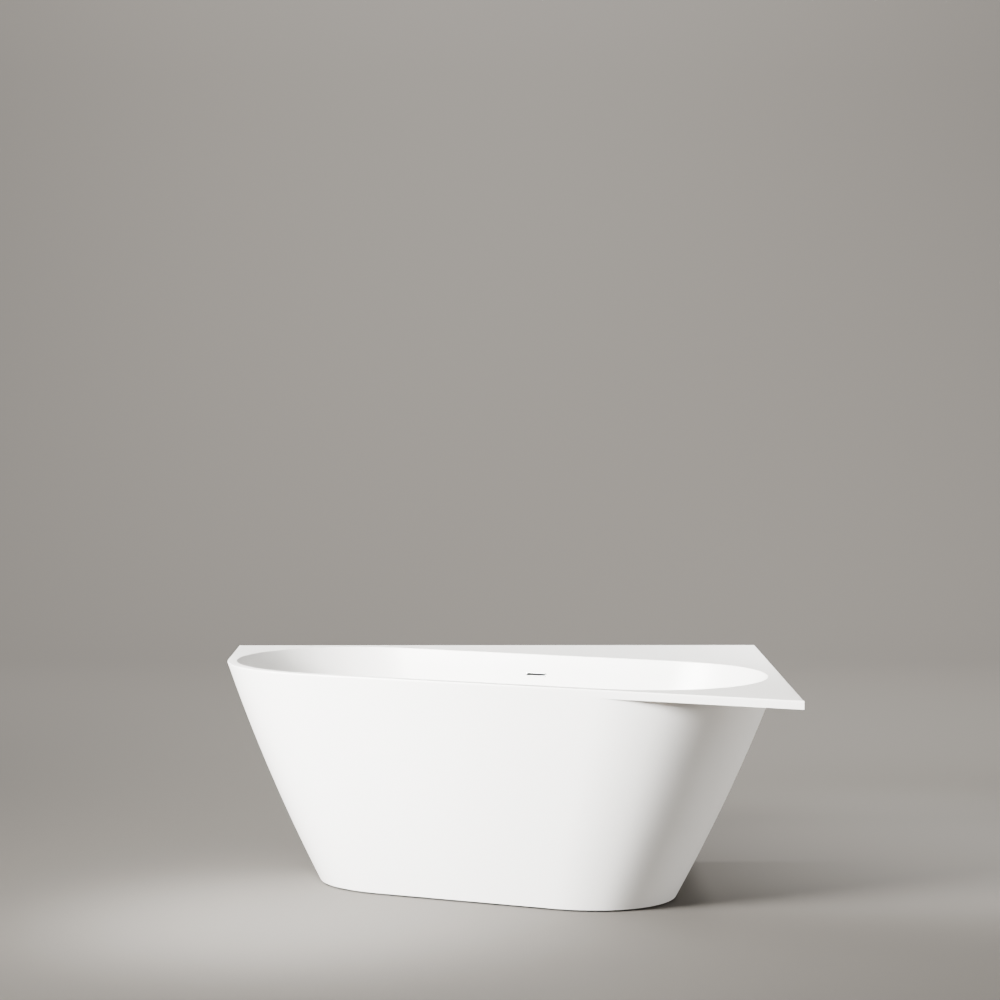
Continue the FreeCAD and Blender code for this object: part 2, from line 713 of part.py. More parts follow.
# ---- Overflow: lined slot, gasket, chamber behind the wall, hose to the waste ----
liner = slot_solid(SLOT_LONG - 2 * RUNNING, SLOT_TALL - 2 * RUNNING, 0, chamber_near + 2)
liner = liner.fuse(
    slot_solid(SLOT_LONG + 2 * COLLAR, SLOT_TALL + 2 * COLLAR, -1.0, 0)
)
liner = liner.cut(
    slot_solid(SLOT_LONG - 2 * LINER_WALL, SLOT_TALL - 2 * LINER_WALL, -2, chamber_near + 3)
)
save(liner.removeSplitter(), "slot_liner")

overflow_gasket = slot_box(chamber_long, CHAMBER_TALL, wall_out, chamber_near)
overflow_gasket = overflow_gasket.cut(
    slot_box(chamber_box_long - 2 * CHAMBER_WALL, 14, wall_out - 1, chamber_near + 1)
)
chamber_far = chamber_near + CHAMBER_DEEP
port_out = chamber_near + CHAMBER_DEEP / 2 + 1.5
chamber = slot_box(chamber_long, CHAMBER_TALL, chamber_near, flange_far)
chamber = chamber.fuse(
    slot_box(chamber_box_long, CHAMBER_BOX_TALL, chamber_near, chamber_far)
)
port_top = FreeCAD.Vector(0, port_out, 0)
port = Part.makeCylinder(PORT_D / 2, 42, port_top, FreeCAD.Vector(0, 0, -1))
port_bore = Part.makeCylinder(PORT_BORE / 2, 43, port_top, FreeCAD.Vector(0, 0, -1))
port.Placement = slot_place
port_bore.Placement = slot_place
chamber = chamber.fuse(port)
chamber = chamber.cut(
    slot_box(
        chamber_box_long - 2 * CHAMBER_WALL,
        CHAMBER_BOX_TALL - 2 * CHAMBER_WALL,
        chamber_near - 1,
        chamber_far - CHAMBER_WALL,
    )
)
chamber = chamber.cut(port_bore)
chamber_screws = []
for side in (-1, 1):
    hole = slot_rod(3.6, side * screw_x, wall_out - 1, 40)
    chamber = chamber.cut(hole)
    overflow_gasket = overflow_gasket.cut(hole)
    shank = slot_rod(3.0, side * screw_x, screw_tip + 0.5, flange_far)
    head = slot_rod(7.0, side * screw_x, flange_far, flange_far + 2.5)
    chamber_screws.append(shank.fuse(head))
save(chamber.removeSplitter(), "overflow_chamber")
save(overflow_gasket, "overflow_gasket")
save(Part.makeCompound(chamber_screws), "chamber_screws")

# The hose runs straight down along the wall, turns once and ends on the waste's side port
hose_bore = PORT_D + 2 * RUNNING
hose_d = hose_bore + 2 * HOSE_WALL
hose_top = slot_place.multVec(FreeCAD.Vector(0, port_out, -24))
axis_back = (hose_top - CENTRE).dot(BACK)
turn_back = WASTE_BACK + PORT_REACH
fall_back = axis_back - (hose_top.z - PORT_LEVEL) * math.tan(lean) - turn_back
turn_radius = fall_back / (math.cos(lean) - (1 - math.sin(lean)) * math.tan(lean))
turn_level = PORT_LEVEL + turn_radius
turn_angle = 90 - math.degrees(lean)
straight_end = place(
    0,
    turn_back + turn_radius * math.cos(lean),
    turn_level - turn_radius * math.sin(lean),
)
port_end = place(0, turn_back - HOSE_GRIP, PORT_LEVEL)


def hose_solid(diameter):
    straight = Part.makeCylinder(
        diameter / 2, (straight_end - hose_top).Length, hose_top, straight_end - hose_top
    )
    disc = Part.Face(
        Part.Wire(Part.makeCircle(diameter / 2, place(0, turn_back, PORT_LEVEL), BACK))
    )
    turn = disc.revolve(place(0, turn_back, turn_level), ALONG, turn_angle)
    on_port = Part.makeCylinder(diameter / 2, HOSE_GRIP, port_end, BACK)
    return fuse_all([straight, turn, on_port])


hose = hose_solid(hose_d).cut(hose_solid(hose_bore))
save(hose, "overflow_hose")

band_d = hose_d + 2 * RUNNING
band_start = slot_place.multVec(FreeCAD.Vector(0, port_out, -30))
bands = []
for start, way in ((band_start, -up_the_wall), (port_start + BACK * (PORT_REACH - 14), BACK)):
    band = Part.makeCylinder(band_d / 2 + CLAMP_THICK, CLAMP_WIDE, start, way)
    bands.append(band.cut(Part.makeCylinder(band_d / 2, CLAMP_WIDE + 2, start - way, way)))
save(Part.makeCompound(bands), "hose_clamps")
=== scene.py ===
from functools import partial
import math

import bmesh
import bpy
from mathutils import Matrix, Vector


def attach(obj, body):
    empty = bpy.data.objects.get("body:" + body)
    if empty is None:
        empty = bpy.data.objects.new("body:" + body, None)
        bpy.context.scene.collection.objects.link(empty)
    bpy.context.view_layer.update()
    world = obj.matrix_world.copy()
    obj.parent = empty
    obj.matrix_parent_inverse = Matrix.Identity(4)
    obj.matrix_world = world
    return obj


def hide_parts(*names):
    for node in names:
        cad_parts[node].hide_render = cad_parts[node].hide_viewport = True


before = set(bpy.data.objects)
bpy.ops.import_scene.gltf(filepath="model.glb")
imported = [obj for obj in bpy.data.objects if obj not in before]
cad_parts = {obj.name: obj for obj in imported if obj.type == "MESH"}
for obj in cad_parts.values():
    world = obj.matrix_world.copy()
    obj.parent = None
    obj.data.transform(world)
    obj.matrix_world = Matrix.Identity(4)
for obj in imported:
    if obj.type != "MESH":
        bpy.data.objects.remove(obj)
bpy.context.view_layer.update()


# ---- Studio ----
# The bath stands on a plain pale floor that sweeps up into a backdrop. The main light is at the
# front left, its beam narrowed and aimed high so that the floor stays dim. Others hang above, low
# on the right and over the backdrop, and a soft spot lightens the floor on each side.
camera_data = bpy.data.cameras.new("studio_camera")
camera_data.sensor_width = 36.0
camera_data.lens = 93.78
camera_data.clip_end = 60.0
camera_dip, camera_swing = 3.44, -0.318
camera = bpy.data.objects.new("studio_camera", camera_data)
camera.location = (-0.0333, -6.9494, 1.4718)
camera.rotation_euler = (math.radians(90.0 - camera_dip), 0.0, math.radians(camera_swing))
bpy.context.scene.collection.objects.link(camera)
bpy.context.scene.camera = camera


def link_mesh(name, mesh, material=None):
    piece = bpy.data.objects.new(name, mesh)
    bpy.context.scene.collection.objects.link(piece)
    if material is not None:
        mesh.materials.clear()
        mesh.materials.append(material)
    return piece


def feed(tree, node, values):
    for name, value in values.items():
        if isinstance(value, bpy.types.NodeSocket):
            tree.links.new(value, node.inputs[name])
        else:
            node.inputs[name].default_value = value


def add_node(tree, kind, values, **settings):
    node = tree.nodes.new(kind)
    for name, value in settings.items():
        setattr(node, name, value)
    feed(tree, node, values)
    return node


def new_material(name):
    material = bpy.data.materials.new(name)
    material.use_nodes = True
    return material, material.node_tree, material.node_tree.nodes["Principled BSDF"]


def colour_ramp(tree, share, low, high):
    ramp = add_node(tree, "ShaderNodeValToRGB", {"Fac": share})
    ramp.color_ramp.elements[0].color = (*low, 1.0)
    ramp.color_ramp.elements[1].color = (*high, 1.0)
    return ramp


def sweep_of_paper():
    half_wide, front, bend_start, bend, top = 14.0, -9.0, 5.0, 3.0, 12.0
    profile = [(front, 0.0), (bend_start, 0.0)]
    for step in range(1, 17):
        turn = math.radians(90.0 * step / 16)
        profile.append((bend_start + bend * math.sin(turn), bend - bend * math.cos(turn)))
    profile.append((bend_start + bend, top))
    shape = bmesh.new()
    left, right = [[shape.verts.new((x, y, z)) for y, z in profile] for x in (-half_wide, half_wide)]
    for near in range(len(profile) - 1):
        face = shape.faces.new((left[near], right[near], right[near + 1], left[near + 1]))
        face.smooth = True
    mesh = bpy.data.meshes.new("studio_sweep")
    shape.to_mesh(mesh)
    shape.free()
    return mesh


paper, paper_tree, paper_shader = new_material("studio_paper")
paper_noise = add_node(paper_tree, "ShaderNodeTexNoise", {"Scale": 1.4, "Detail": 3.0})
paper_tone = colour_ramp(
    paper_tree, paper_noise.outputs["Fac"], (0.083, 0.077, 0.070), (0.088, 0.082, 0.0745)
)
paper_finish = {"Roughness": 0.85, "Specular IOR Level": 0.15}
feed(paper_tree, paper_shader, {"Base Color": paper_tone.outputs["Color"], **paper_finish})
sweep = link_mesh("studio_sweep", sweep_of_paper(), paper)


def aim_lamp(lamp, spot, target):
    holder = bpy.data.objects.new(lamp.name, lamp)
    holder.location = spot
    aim = Vector(target) - Vector(spot)
    holder.rotation_euler = aim.to_track_quat("-Z", "Y").to_euler()
    bpy.context.scene.collection.objects.link(holder)


def soft_light(name, spot, target, size, watts, colour, spread=180.0):
    lamp = bpy.data.lights.new(name, "AREA")
    lamp.shape = "RECTANGLE"
    lamp.size, lamp.size_y = size
    lamp.energy = watts
    lamp.color = colour
    lamp.spread = math.radians(spread)
    aim_lamp(lamp, spot, target)


def floor_light(name, spot, target, cone, watts):
    lamp = bpy.data.lights.new(name, "SPOT")
    lamp.energy = watts
    lamp.spot_size = math.radians(cone)
    lamp.spot_blend = 1.0
    lamp.shadow_soft_size = 0.3
    aim_lamp(lamp, spot, target)


soft_light(
    "key_light", (-4.7, -2.7, 2.9), (0.4, -0.1, 1.3), (2.4, 2.2), 550.0, (1.0, 0.982, 0.955), spread=64.0
)
soft_light("top_light", (-1.8, 0.2, 3.6), (0.0, 0.0, 0.3), (2.6, 2.6), 90.0, (1.0, 0.99, 0.97))
soft_light("fill_light", (3.2, 0.2, 0.3), (0.6, 0.1, 0.5), (1.6, 0.5), 62.0, (1.0, 0.97, 0.93))
soft_light("back_light", (0.0, 2.4, 5.4), (0.0, 8.0, 2.4), (6.0, 1.6), 2050.0, (1.0, 0.995, 0.985))
floor_light("right_floor_light", (1.9, 0.6, 3.4), (1.30, 0.55, 0.0), cone=40.0, watts=1400.0)
floor_light("left_floor_light", (-1.6, -1.4, 3.0), (-0.52, -0.34, 0.0), cone=25.0, watts=3400.0)
world = bpy.data.worlds.new("studio_air")
world.use_nodes = True
air = world.node_tree.nodes["Background"]
feed(world.node_tree, air, {"Color": (1.0, 0.98, 0.95, 1.0), "Strength": 0.55})
bpy.context.scene.world = world


# ---- Finish of sheets and mouldings ----
# A glossy sheet or moulding is never quite even: its tint drifts a little in broad patches,
# its gloss varies, and it has a fine skin texture. All plastics and the cover's paint use this.
def socket_kind(value):
    if isinstance(value, tuple):
        return "NodeSocketColor" if len(value) == 4 else "NodeSocketVector"
    return {float: "NodeSocketFloat", int: "NodeSocketInt"}.get(type(value), "NodeSocketGeometry")


def new_group(name, kind, inputs, outputs):
    group = bpy.data.node_groups.new(name, kind)
    for way, sockets in (("INPUT", inputs), ("OUTPUT", outputs)):
        for label, value in sockets.items():
            socket = group.interface.new_socket(name=label, in_out=way, socket_type=socket_kind(value))
            if value is not None:
                socket.default_value = value
    return group, group.nodes.new("NodeGroupInput").outputs, group.nodes.new("NodeGroupOutput")


def work_out(tree, operation, one, other=0.0, third=0.0):
    values = {0: one, 1: other, 2: third}
    return add_node(tree, "ShaderNodeMath", values, operation=operation).outputs["Value"]


def noise(tree, where, scale, detail, **more):
    values = {"Vector": where, "Scale": scale, "Detail": detail, **more}
    return add_node(tree, "ShaderNodeTexNoise", values).outputs["Fac"]


def mix_colours(tree, share, one, other):
    values = {"Factor": share, "A": one, "B": other}
    return add_node(tree, "ShaderNodeMix", values, data_type="RGBA").outputs["Result"]


def map_range(tree, value, low, high, to_low, to_high):
    values = {"Value": value, "From Min": low, "From Max": high, "To Min": to_low, "To Max": to_high}
    return add_node(tree, "ShaderNodeMapRange", values).outputs["Result"]


def relief(tree, strength, distance, rise):
    values = {"Strength": strength, "Distance": distance, "Height": rise}
    return add_node(tree, "ShaderNodeBump", values).outputs["Normal"]


finish_outputs = {"Colour": (0.8, 0.8, 0.8, 1.0), "Roughness": 0.5, "Height": 0.0}


def moulded_skin_group():
    inputs = {
        "Colour": (0.8, 0.8, 0.8, 1.0),
        "Drift colour": (0.7, 0.7, 0.7, 1.0),
        "Patch scale": 6.0,
        "Grain scale": 900.0,
        "Gloss low": 0.25,
        "Gloss high": 0.35,
    }
    group, entry, leave = new_group("moulded_skin", "ShaderNodeTree", inputs, finish_outputs)
    where = group.nodes.new("ShaderNodeTexCoord").outputs["Object"]
    patches = noise(group, where, entry["Patch scale"], 4.0, Roughness=0.6)
    wipe_scale = work_out(group, "MULTIPLY", entry["Patch scale"], 2.7)
    wipes = noise(group, where, wipe_scale, 2.0, Distortion=0.8)
    finish = {
        "Colour": mix_colours(group, patches, entry["Colour"], entry["Drift colour"]),
        "Roughness": map_range(group, wipes, 0.3, 0.7, entry["Gloss low"], entry["Gloss high"]),
        "Height": noise(group, where, entry["Grain scale"], 2.0),
    }
    feed(group, leave, finish)
    return group


moulded_skin = moulded_skin_group()


def grouped_material(name, group, values, bump, distance, finish):
    material, tree, shader = new_material(name)
    skin = add_node(tree, "ShaderNodeGroup", values, node_tree=group).outputs
    normal = relief(tree, bump, distance, skin["Height"])
    surface = {"Base Color": skin["Colour"], "Roughness": skin["Roughness"], "Normal": normal}
    feed(tree, shader, {**surface, **finish})
    return material


def moulded_material(name, colour, drift, patch, grain, gloss, bump, coat=0.0, specular=0.5):
    values = {
        "Colour": (*colour, 1.0),
        "Drift colour": (*drift, 1.0),
        "Patch scale": patch,
        "Grain scale": grain,
        "Gloss low": gloss[0],
        "Gloss high": gloss[1],
    }
    finish = {"Coat Weight": coat, "Coat Roughness": 0.3, "Specular IOR Level": specular}
    return grouped_material(name, moulded_skin, values, bump, 0.0004, finish)


# ---- Bath ----
# One sheet of warm white sanitary acrylic, drawn down into a slanted oval basin with a thin
# deck and a turned-down rim, and backed with resin below. The basin's ovals have three
# radii, the deck fills the corner behind the oval, and its edges are lightly rounded.
width, depth, height = 1.500, 1.190, 0.595
rim, wall, edge_round, flat_strip = 0.022, 0.006, 0.003, 0.002
strip = 0.0273
front_turn = math.radians(22.6)
shoulder_turn = math.radians(22.3)
opening_sizes = (0.405, 0.425, 0.300)
floor_sizes = (0.285, 0.330, 0.215)
foot_sizes = (0.248, 0.331, 0.211)
foot_shift = (0.0126, -0.0347)
belly = 0.012
floor_level, floor_blend = 0.160, 0.035
panel_gap = 0.005
under_rim = height - rim
under_deck = height - wall
along_way = Vector((math.cos(front_turn), -math.sin(front_turn), 0.0))
back_way = Vector((math.sin(front_turn), math.cos(front_turn), 0.0))
up_way = Vector((0.0, 0.0, 1.0))
straight_steps, shoulder_steps, end_steps, wall_steps = 6, 8, 24, 10


def half_breadth(shoulder, end):
    return shoulder * (1 - math.cos(shoulder_turn)) + end * math.cos(shoulder_turn)


def end_centre(straight, shoulder, end):
    return straight + (shoulder - end) * math.sin(shoulder_turn)


left_centre = end_centre(*opening_sizes)
centre_x = opening_sizes[2] + strip + left_centre * math.cos(front_turn) - width / 2
rim_half = half_breadth(*opening_sizes[1:]) + strip
centre_y = (width / 2 - centre_x) * math.sin(front_turn) + rim_half
centre_y = centre_y / math.cos(front_turn) - depth / 2


def place(along, back, level):
    middle = Vector((centre_x, centre_y, level))
    return middle + along_way * along + back_way * back


def oval_stations():
    rest = math.pi / 2 - shoulder_turn
    stations = []
    for side, front in ((1, 1), (1, -1), (-1, -1), (-1, 1)):
        quarter = [(step / straight_steps, 0.0) for step in range(straight_steps)]
        quarter += [(1.0, shoulder_turn * step / shoulder_steps) for step in range(shoulder_steps)]
        quarter += [(1.0, shoulder_turn + rest * step / end_steps) for step in range(end_steps + 1)]
        if side * front < 0:
            quarter.reverse()
        stations += [(side, front, run, turn) for run, turn in quarter[:-1]]
    return stations


stations = oval_stations()
outward = [
    along_way * side * math.sin(turn) + back_way * front * math.cos(turn)
    for side, front, _, turn in stations
]


def oval(sizes, level, grow):
    straight, shoulder, end = sizes[0], sizes[1] + grow, sizes[2] + grow
    half = half_breadth(shoulder, end)
    points = []
    for side, front, run, turn in stations:
        first = min(turn, shoulder_turn)
        second = max(turn, shoulder_turn)
        along = straight * run + shoulder * math.sin(first)
        along += end * (math.sin(second) - math.sin(shoulder_turn))
        back = half - shoulder * (1 - math.cos(first))
        back -= end * (math.cos(shoulder_turn) - math.cos(second))
        points.append(place(side * along, front * back, level))
    return points


def basin_sizes(level):
    fall = (height - level) / (height - floor_level)
    return tuple(a + (b - a) * fall for a, b in zip(opening_sizes, floor_sizes))


def skin_sizes(level):
    fall = (height - level) / (height - panel_gap)
    swell = 4 * belly * fall * (1 - fall)
    top = (opening_sizes[0], opening_sizes[1] + strip, opening_sizes[2] + strip)
    straight = top[0] + (foot_sizes[0] - top[0]) * fall
    shoulder = top[1] + (foot_sizes[1] - top[1]) * fall + swell
    end = top[2] + (foot_sizes[2] - top[2]) * fall + swell
    return (straight, shoulder, end), (foot_shift[0] * fall, foot_shift[1] * fall)


def deck_edge(level, inset):
    (straight, shoulder, end), (shift_along, shift_back) = skin_sizes(level)
    half = half_breadth(shoulder, end)
    middle = end_centre(straight, shoulder, end)
    points = []
    arc_steps = 16
    for step in range(arc_steps + 1):
        turn = front_turn + (math.pi / 2 - shoulder_turn - front_turn) * step / arc_steps
        along = shift_along - middle - (end - inset) * math.cos(turn)
        points.append(place(along, shift_back - (end - inset) * math.sin(turn), level))
    for step in range(1, shoulder_steps + 1):
        turn = shoulder_turn * (1 - step / shoulder_steps)
        along = shift_along - straight - (shoulder - inset) * math.sin(turn)
        back = shift_back - (half - shoulder) - (shoulder - inset) * math.cos(turn)
        points.append(place(along, back, level))
    front_back = shift_back - half + inset
    right = width / 2 - inset
    right_along = (right - centre_x - front_back * math.sin(front_turn)) / math.cos(front_turn)
    corners = [
        place(right_along, front_back, level),
        Vector((right, depth / 2 - inset, level)),
        Vector((inset - width / 2, depth / 2 - inset, level)),
        points[0],
    ]
    for corner, steps in zip(corners, (8, 10, 12, 8)):
        start = points[-1]
        for step in range(1, steps + 1):
            points.append(start.lerp(corner, step / steps))
    return points[:-1]


def quarter_round(radius, steps):
    turns = [math.radians(90.0 * step / steps) for step in range(steps + 1)]
    return [(radius * (1 - math.sin(turn)), radius * (1 - math.cos(turn))) for turn in turns]


def round_over(start, corner, stop, turn, steps):
    weight = math.cos(turn / 2)
    rows = []
    for step in range(steps + 1):
        s = step / steps
        pull = 2 * s * (1 - s) * weight
        whole = (1 - s) ** 2 + pull + s ** 2
        rows.append((start * (1 - s) ** 2 + corner * pull + stop * s ** 2) / whole)
    return rows


def basin_rings(top_level, bottom_level, grow, top_round, bottom_round):
    top = oval(basin_sizes(top_level), top_level, grow)
    bottom = oval(basin_sizes(bottom_level), bottom_level, grow)
    tall = top_level - bottom_level
    columns = []
    for high, low, out in zip(top, bottom, outward):
        lean = math.atan((high - low).dot(out) / tall)
        wall_way = out * math.sin(lean) + up_way * math.cos(lean)
        turn = math.pi / 2 - lean
        rule = (high - low) / tall
        column = [high]
        if top_round > 0:
            reach = top_round * math.tan(turn / 2)
            column = [high + out * (reach + flat_strip)]
            column += round_over(high + out * reach, high, high - wall_way * reach, turn, 5)
        reach = bottom_round * math.tan(turn / 2)
        start_z = column[-1].z
        stop_z = bottom_level + reach * math.cos(lean)
        for step in range(1, wall_steps):
            z = start_z + (stop_z - start_z) * step / wall_steps
            column.append(low + rule * (z - bottom_level))
        column += round_over(low + wall_way * reach, low, low - out * reach, turn, 9)
        column.append(low - out * (reach + flat_strip))
        columns.append(column)
    return [list(row) for row in zip(*columns)]


waste_back = 0.140
waste_centre = place(0.0, waste_back, 0.0)


def circle(radius, level, steps=96):
    turns = [2 * math.pi * step / steps for step in range(steps)]
    ring = [Vector((radius * math.cos(turn), radius * math.sin(turn), level)) for turn in turns]
    return [waste_centre + spot for spot in ring]


def add_rings(shape, rings):
    rows = [[shape.verts.new(point) for point in ring] for ring in rings]
    for upper, lower in zip(rows, rows[1:]):
        for step in range(len(upper)):
            after = (step + 1) % len(upper)
            shape.faces.new((upper[step], upper[after], lower[after], lower[step]))
    return rows


def fill_between(shape, one, other):
    edges = []
    for row in (one, other):
        for step in range(len(row)):
            pair = (row[step], row[(step + 1) % len(row)])
            edges.append(shape.edges.get(pair) or shape.edges.new(pair))
    bmesh.ops.triangle_fill(shape, edges=edges, use_beauty=True, normal=(0, 0, 1))


def finish_mesh(shape, name, sharp=30.0):
    weld, level_normal = 0.000002, 0.99999
    bmesh.ops.remove_doubles(shape, verts=shape.verts, dist=weld)
    bmesh.ops.dissolve_degenerate(shape, edges=shape.edges, dist=weld)
    bmesh.ops.recalc_face_normals(shape, faces=shape.faces)
    for face in shape.faces:
        face.smooth = abs(face.normal.z) < level_normal
    for edge in shape.edges:
        if len(edge.link_faces) == 2:
            edge.smooth = edge.calc_face_angle(0.0) < math.radians(sharp)
    mesh = bpy.data.meshes.new(name)
    shape.to_mesh(mesh)
    shape.free()
    return mesh


pocket_radius, pocket_deep, waste_hole = 0.03875, 0.010, 0.026
pocket_edge, pocket_strip = 0.0010, 0.0012


def bath_mesh():
    shape = bmesh.new()
    inner = add_rings(shape, basin_rings(height, floor_level, 0.0, edge_round, floor_blend))
    rim_rows = [deck_edge(height, edge_round + flat_strip)]
    rim_rows += [deck_edge(height - drop, inset) for inset, drop in quarter_round(edge_round, 5)]
    rim_rows.append(deck_edge((height + under_rim) / 2, 0.0))
    rim_rows.append(deck_edge(under_rim, 0.0))
    rim_rows.append(deck_edge(under_rim, wall))
    rim_rows.append([Vector((point.x, point.y, under_deck)) for point in rim_rows[-1]])
    outer = add_rings(shape, rim_rows)
    fill_between(shape, outer[0], inner[0])
    under_rows = basin_rings(under_deck, floor_level - wall, wall, 0.0, floor_blend + wall)
    below = add_rings(shape, under_rows)
    fill_between(shape, outer[-1], below[0])
    boss_bottom = floor_level - pocket_deep - wall
    pocket_rows = [circle(pocket_radius + pocket_edge + pocket_strip, floor_level)]
    for inset, drop in quarter_round(pocket_edge, 4):
        pocket_rows.append(circle(pocket_radius + inset, floor_level - drop))
    for radius, level in (
        (pocket_radius, floor_level - pocket_deep),
        (waste_hole, floor_level - pocket_deep),
        (waste_hole, boss_bottom),
        (pocket_radius + wall, boss_bottom),
        (pocket_radius + wall, floor_level - wall),
    ):
        pocket_rows.append(circle(radius, level))
    drain = add_rings(shape, pocket_rows)
    fill_between(shape, inner[-1], drain[0])
    fill_between(shape, below[-1], drain[-1])
    return finish_mesh(shape, "bath_shell")


slot_drop, slot_long, slot_tall = 0.056, 0.060, 0.007
slot_level = height - slot_drop
floor_half = half_breadth(*floor_sizes[1:])
slot_lean = math.atan((half_breadth(*opening_sizes[1:]) - floor_half) / (height - floor_level))
slot_back = floor_half + (slot_level - floor_level) * math.tan(slot_lean)
slot_out = back_way * math.cos(slot_lean) - up_way * math.sin(slot_lean)
slot_up = back_way * math.sin(slot_lean) + up_way * math.cos(slot_lean)


def slot_point(across, out, up):
    middle = place(0.0, slot_back, slot_level)
    return middle + along_way * across + slot_out * out + slot_up * up


def slot_outline(long, tall, out, steps=12):
    radius = tall / 2
    reach = long / 2 - radius
    points = []
    for side in (1, -1):
        for step in range(steps + 1):
            turn = math.radians(-90.0 + 180.0 * step / steps)
            across = side * (reach + radius * math.cos(turn))
            points.append(slot_point(across, out, side * radius * math.sin(turn)))
    return points


def evaluated_shape(holder):
    graph = bpy.context.evaluated_depsgraph_get()
    mesh = bpy.data.meshes.new_from_object(holder.evaluated_get(graph))
    holder.modifiers.clear()
    bpy.data.objects.remove(holder)
    materials = list(mesh.materials)
    shape = bmesh.new()
    shape.from_mesh(mesh)
    bpy.data.meshes.remove(mesh)
    return shape, materials


def cut_away(mesh, name, cutter_mesh):
    body = link_mesh(name, mesh)
    cutter = link_mesh(name + "_cutter", cutter_mesh)
    cut = body.modifiers.new("cut", "BOOLEAN")
    cut.operation = "DIFFERENCE"
    cut.solver = "EXACT"
    cut.object = cutter
    shape, _ = evaluated_shape(body)
    bpy.data.objects.remove(cutter)
    return finish_mesh(shape, name)


cutter_half = 0.02
slot_cutter = bmesh.new()
cutter_ends = [slot_outline(slot_long, slot_tall, out) for out in (-cutter_half, cutter_half)]
near_end, far_end = add_rings(slot_cutter, cutter_ends)
slot_cutter.faces.new(near_end)
slot_cutter.faces.new(far_end[::-1])
bath_shell = cut_away(bath_mesh(), "bath_shell", finish_mesh(slot_cutter, "slot_cutter"))
acrylic = moulded_material(
    "warm_white_acrylic", (0.840, 0.834, 0.815), (0.822, 0.815, 0.795),
    patch=3.0, grain=420.0, gloss=(0.36, 0.40), bump=0.03, coat=0.25,
)
bath = link_mesh("bath_shell", bath_shell, acrylic)
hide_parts("bath")
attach(bath, "tub")


# ---- Outer skin ----
# A thin tapered apron of the same acrylic, its ovals shrinking and sliding forward towards
# the floor with a slight belly. It is open towards the wall and has a flange at its foot.
def vector_of(group, x=0.0, y=0.0, z=0.0):
    return add_node(group, "ShaderNodeCombineXYZ", {"X": x, "Y": y, "Z": z}).outputs["Vector"]


def held_share(group, value):
    return add_node(group, "ShaderNodeClamp", {"Value": value}).outputs["Result"]


def grid_sheet(group, columns, rows):
    sheet = add_node(group, "GeometryNodeMeshGrid", {"Vertices X": columns, "Vertices Y": rows})
    index = group.nodes.new("GeometryNodeInputIndex").outputs["Index"]
    column = work_out(group, "FLOOR", work_out(group, "DIVIDE", index, rows))
    return sheet.outputs["Mesh"], column, work_out(group, "MODULO", index, rows)


def put_points(group, sheet, spot):
    values = {"Geometry": sheet, "Position": spot}
    return add_node(group, "GeometryNodeSetPosition", values).outputs["Geometry"]


def close_tree(group, leave, shape, material, **seat):
    if seat:
        shape = add_node(group, "GeometryNodeTransform", {"Geometry": shape, **seat}).outputs["Geometry"]
    real = add_node(group, "GeometryNodeRealizeInstances", {"Geometry": shape})
    values = {"Geometry": real.outputs["Geometry"], "Material": material}
    dress = add_node(group, "GeometryNodeSetMaterial", values)
    feed(group, leave, {0: dress.outputs["Geometry"]})
    return group


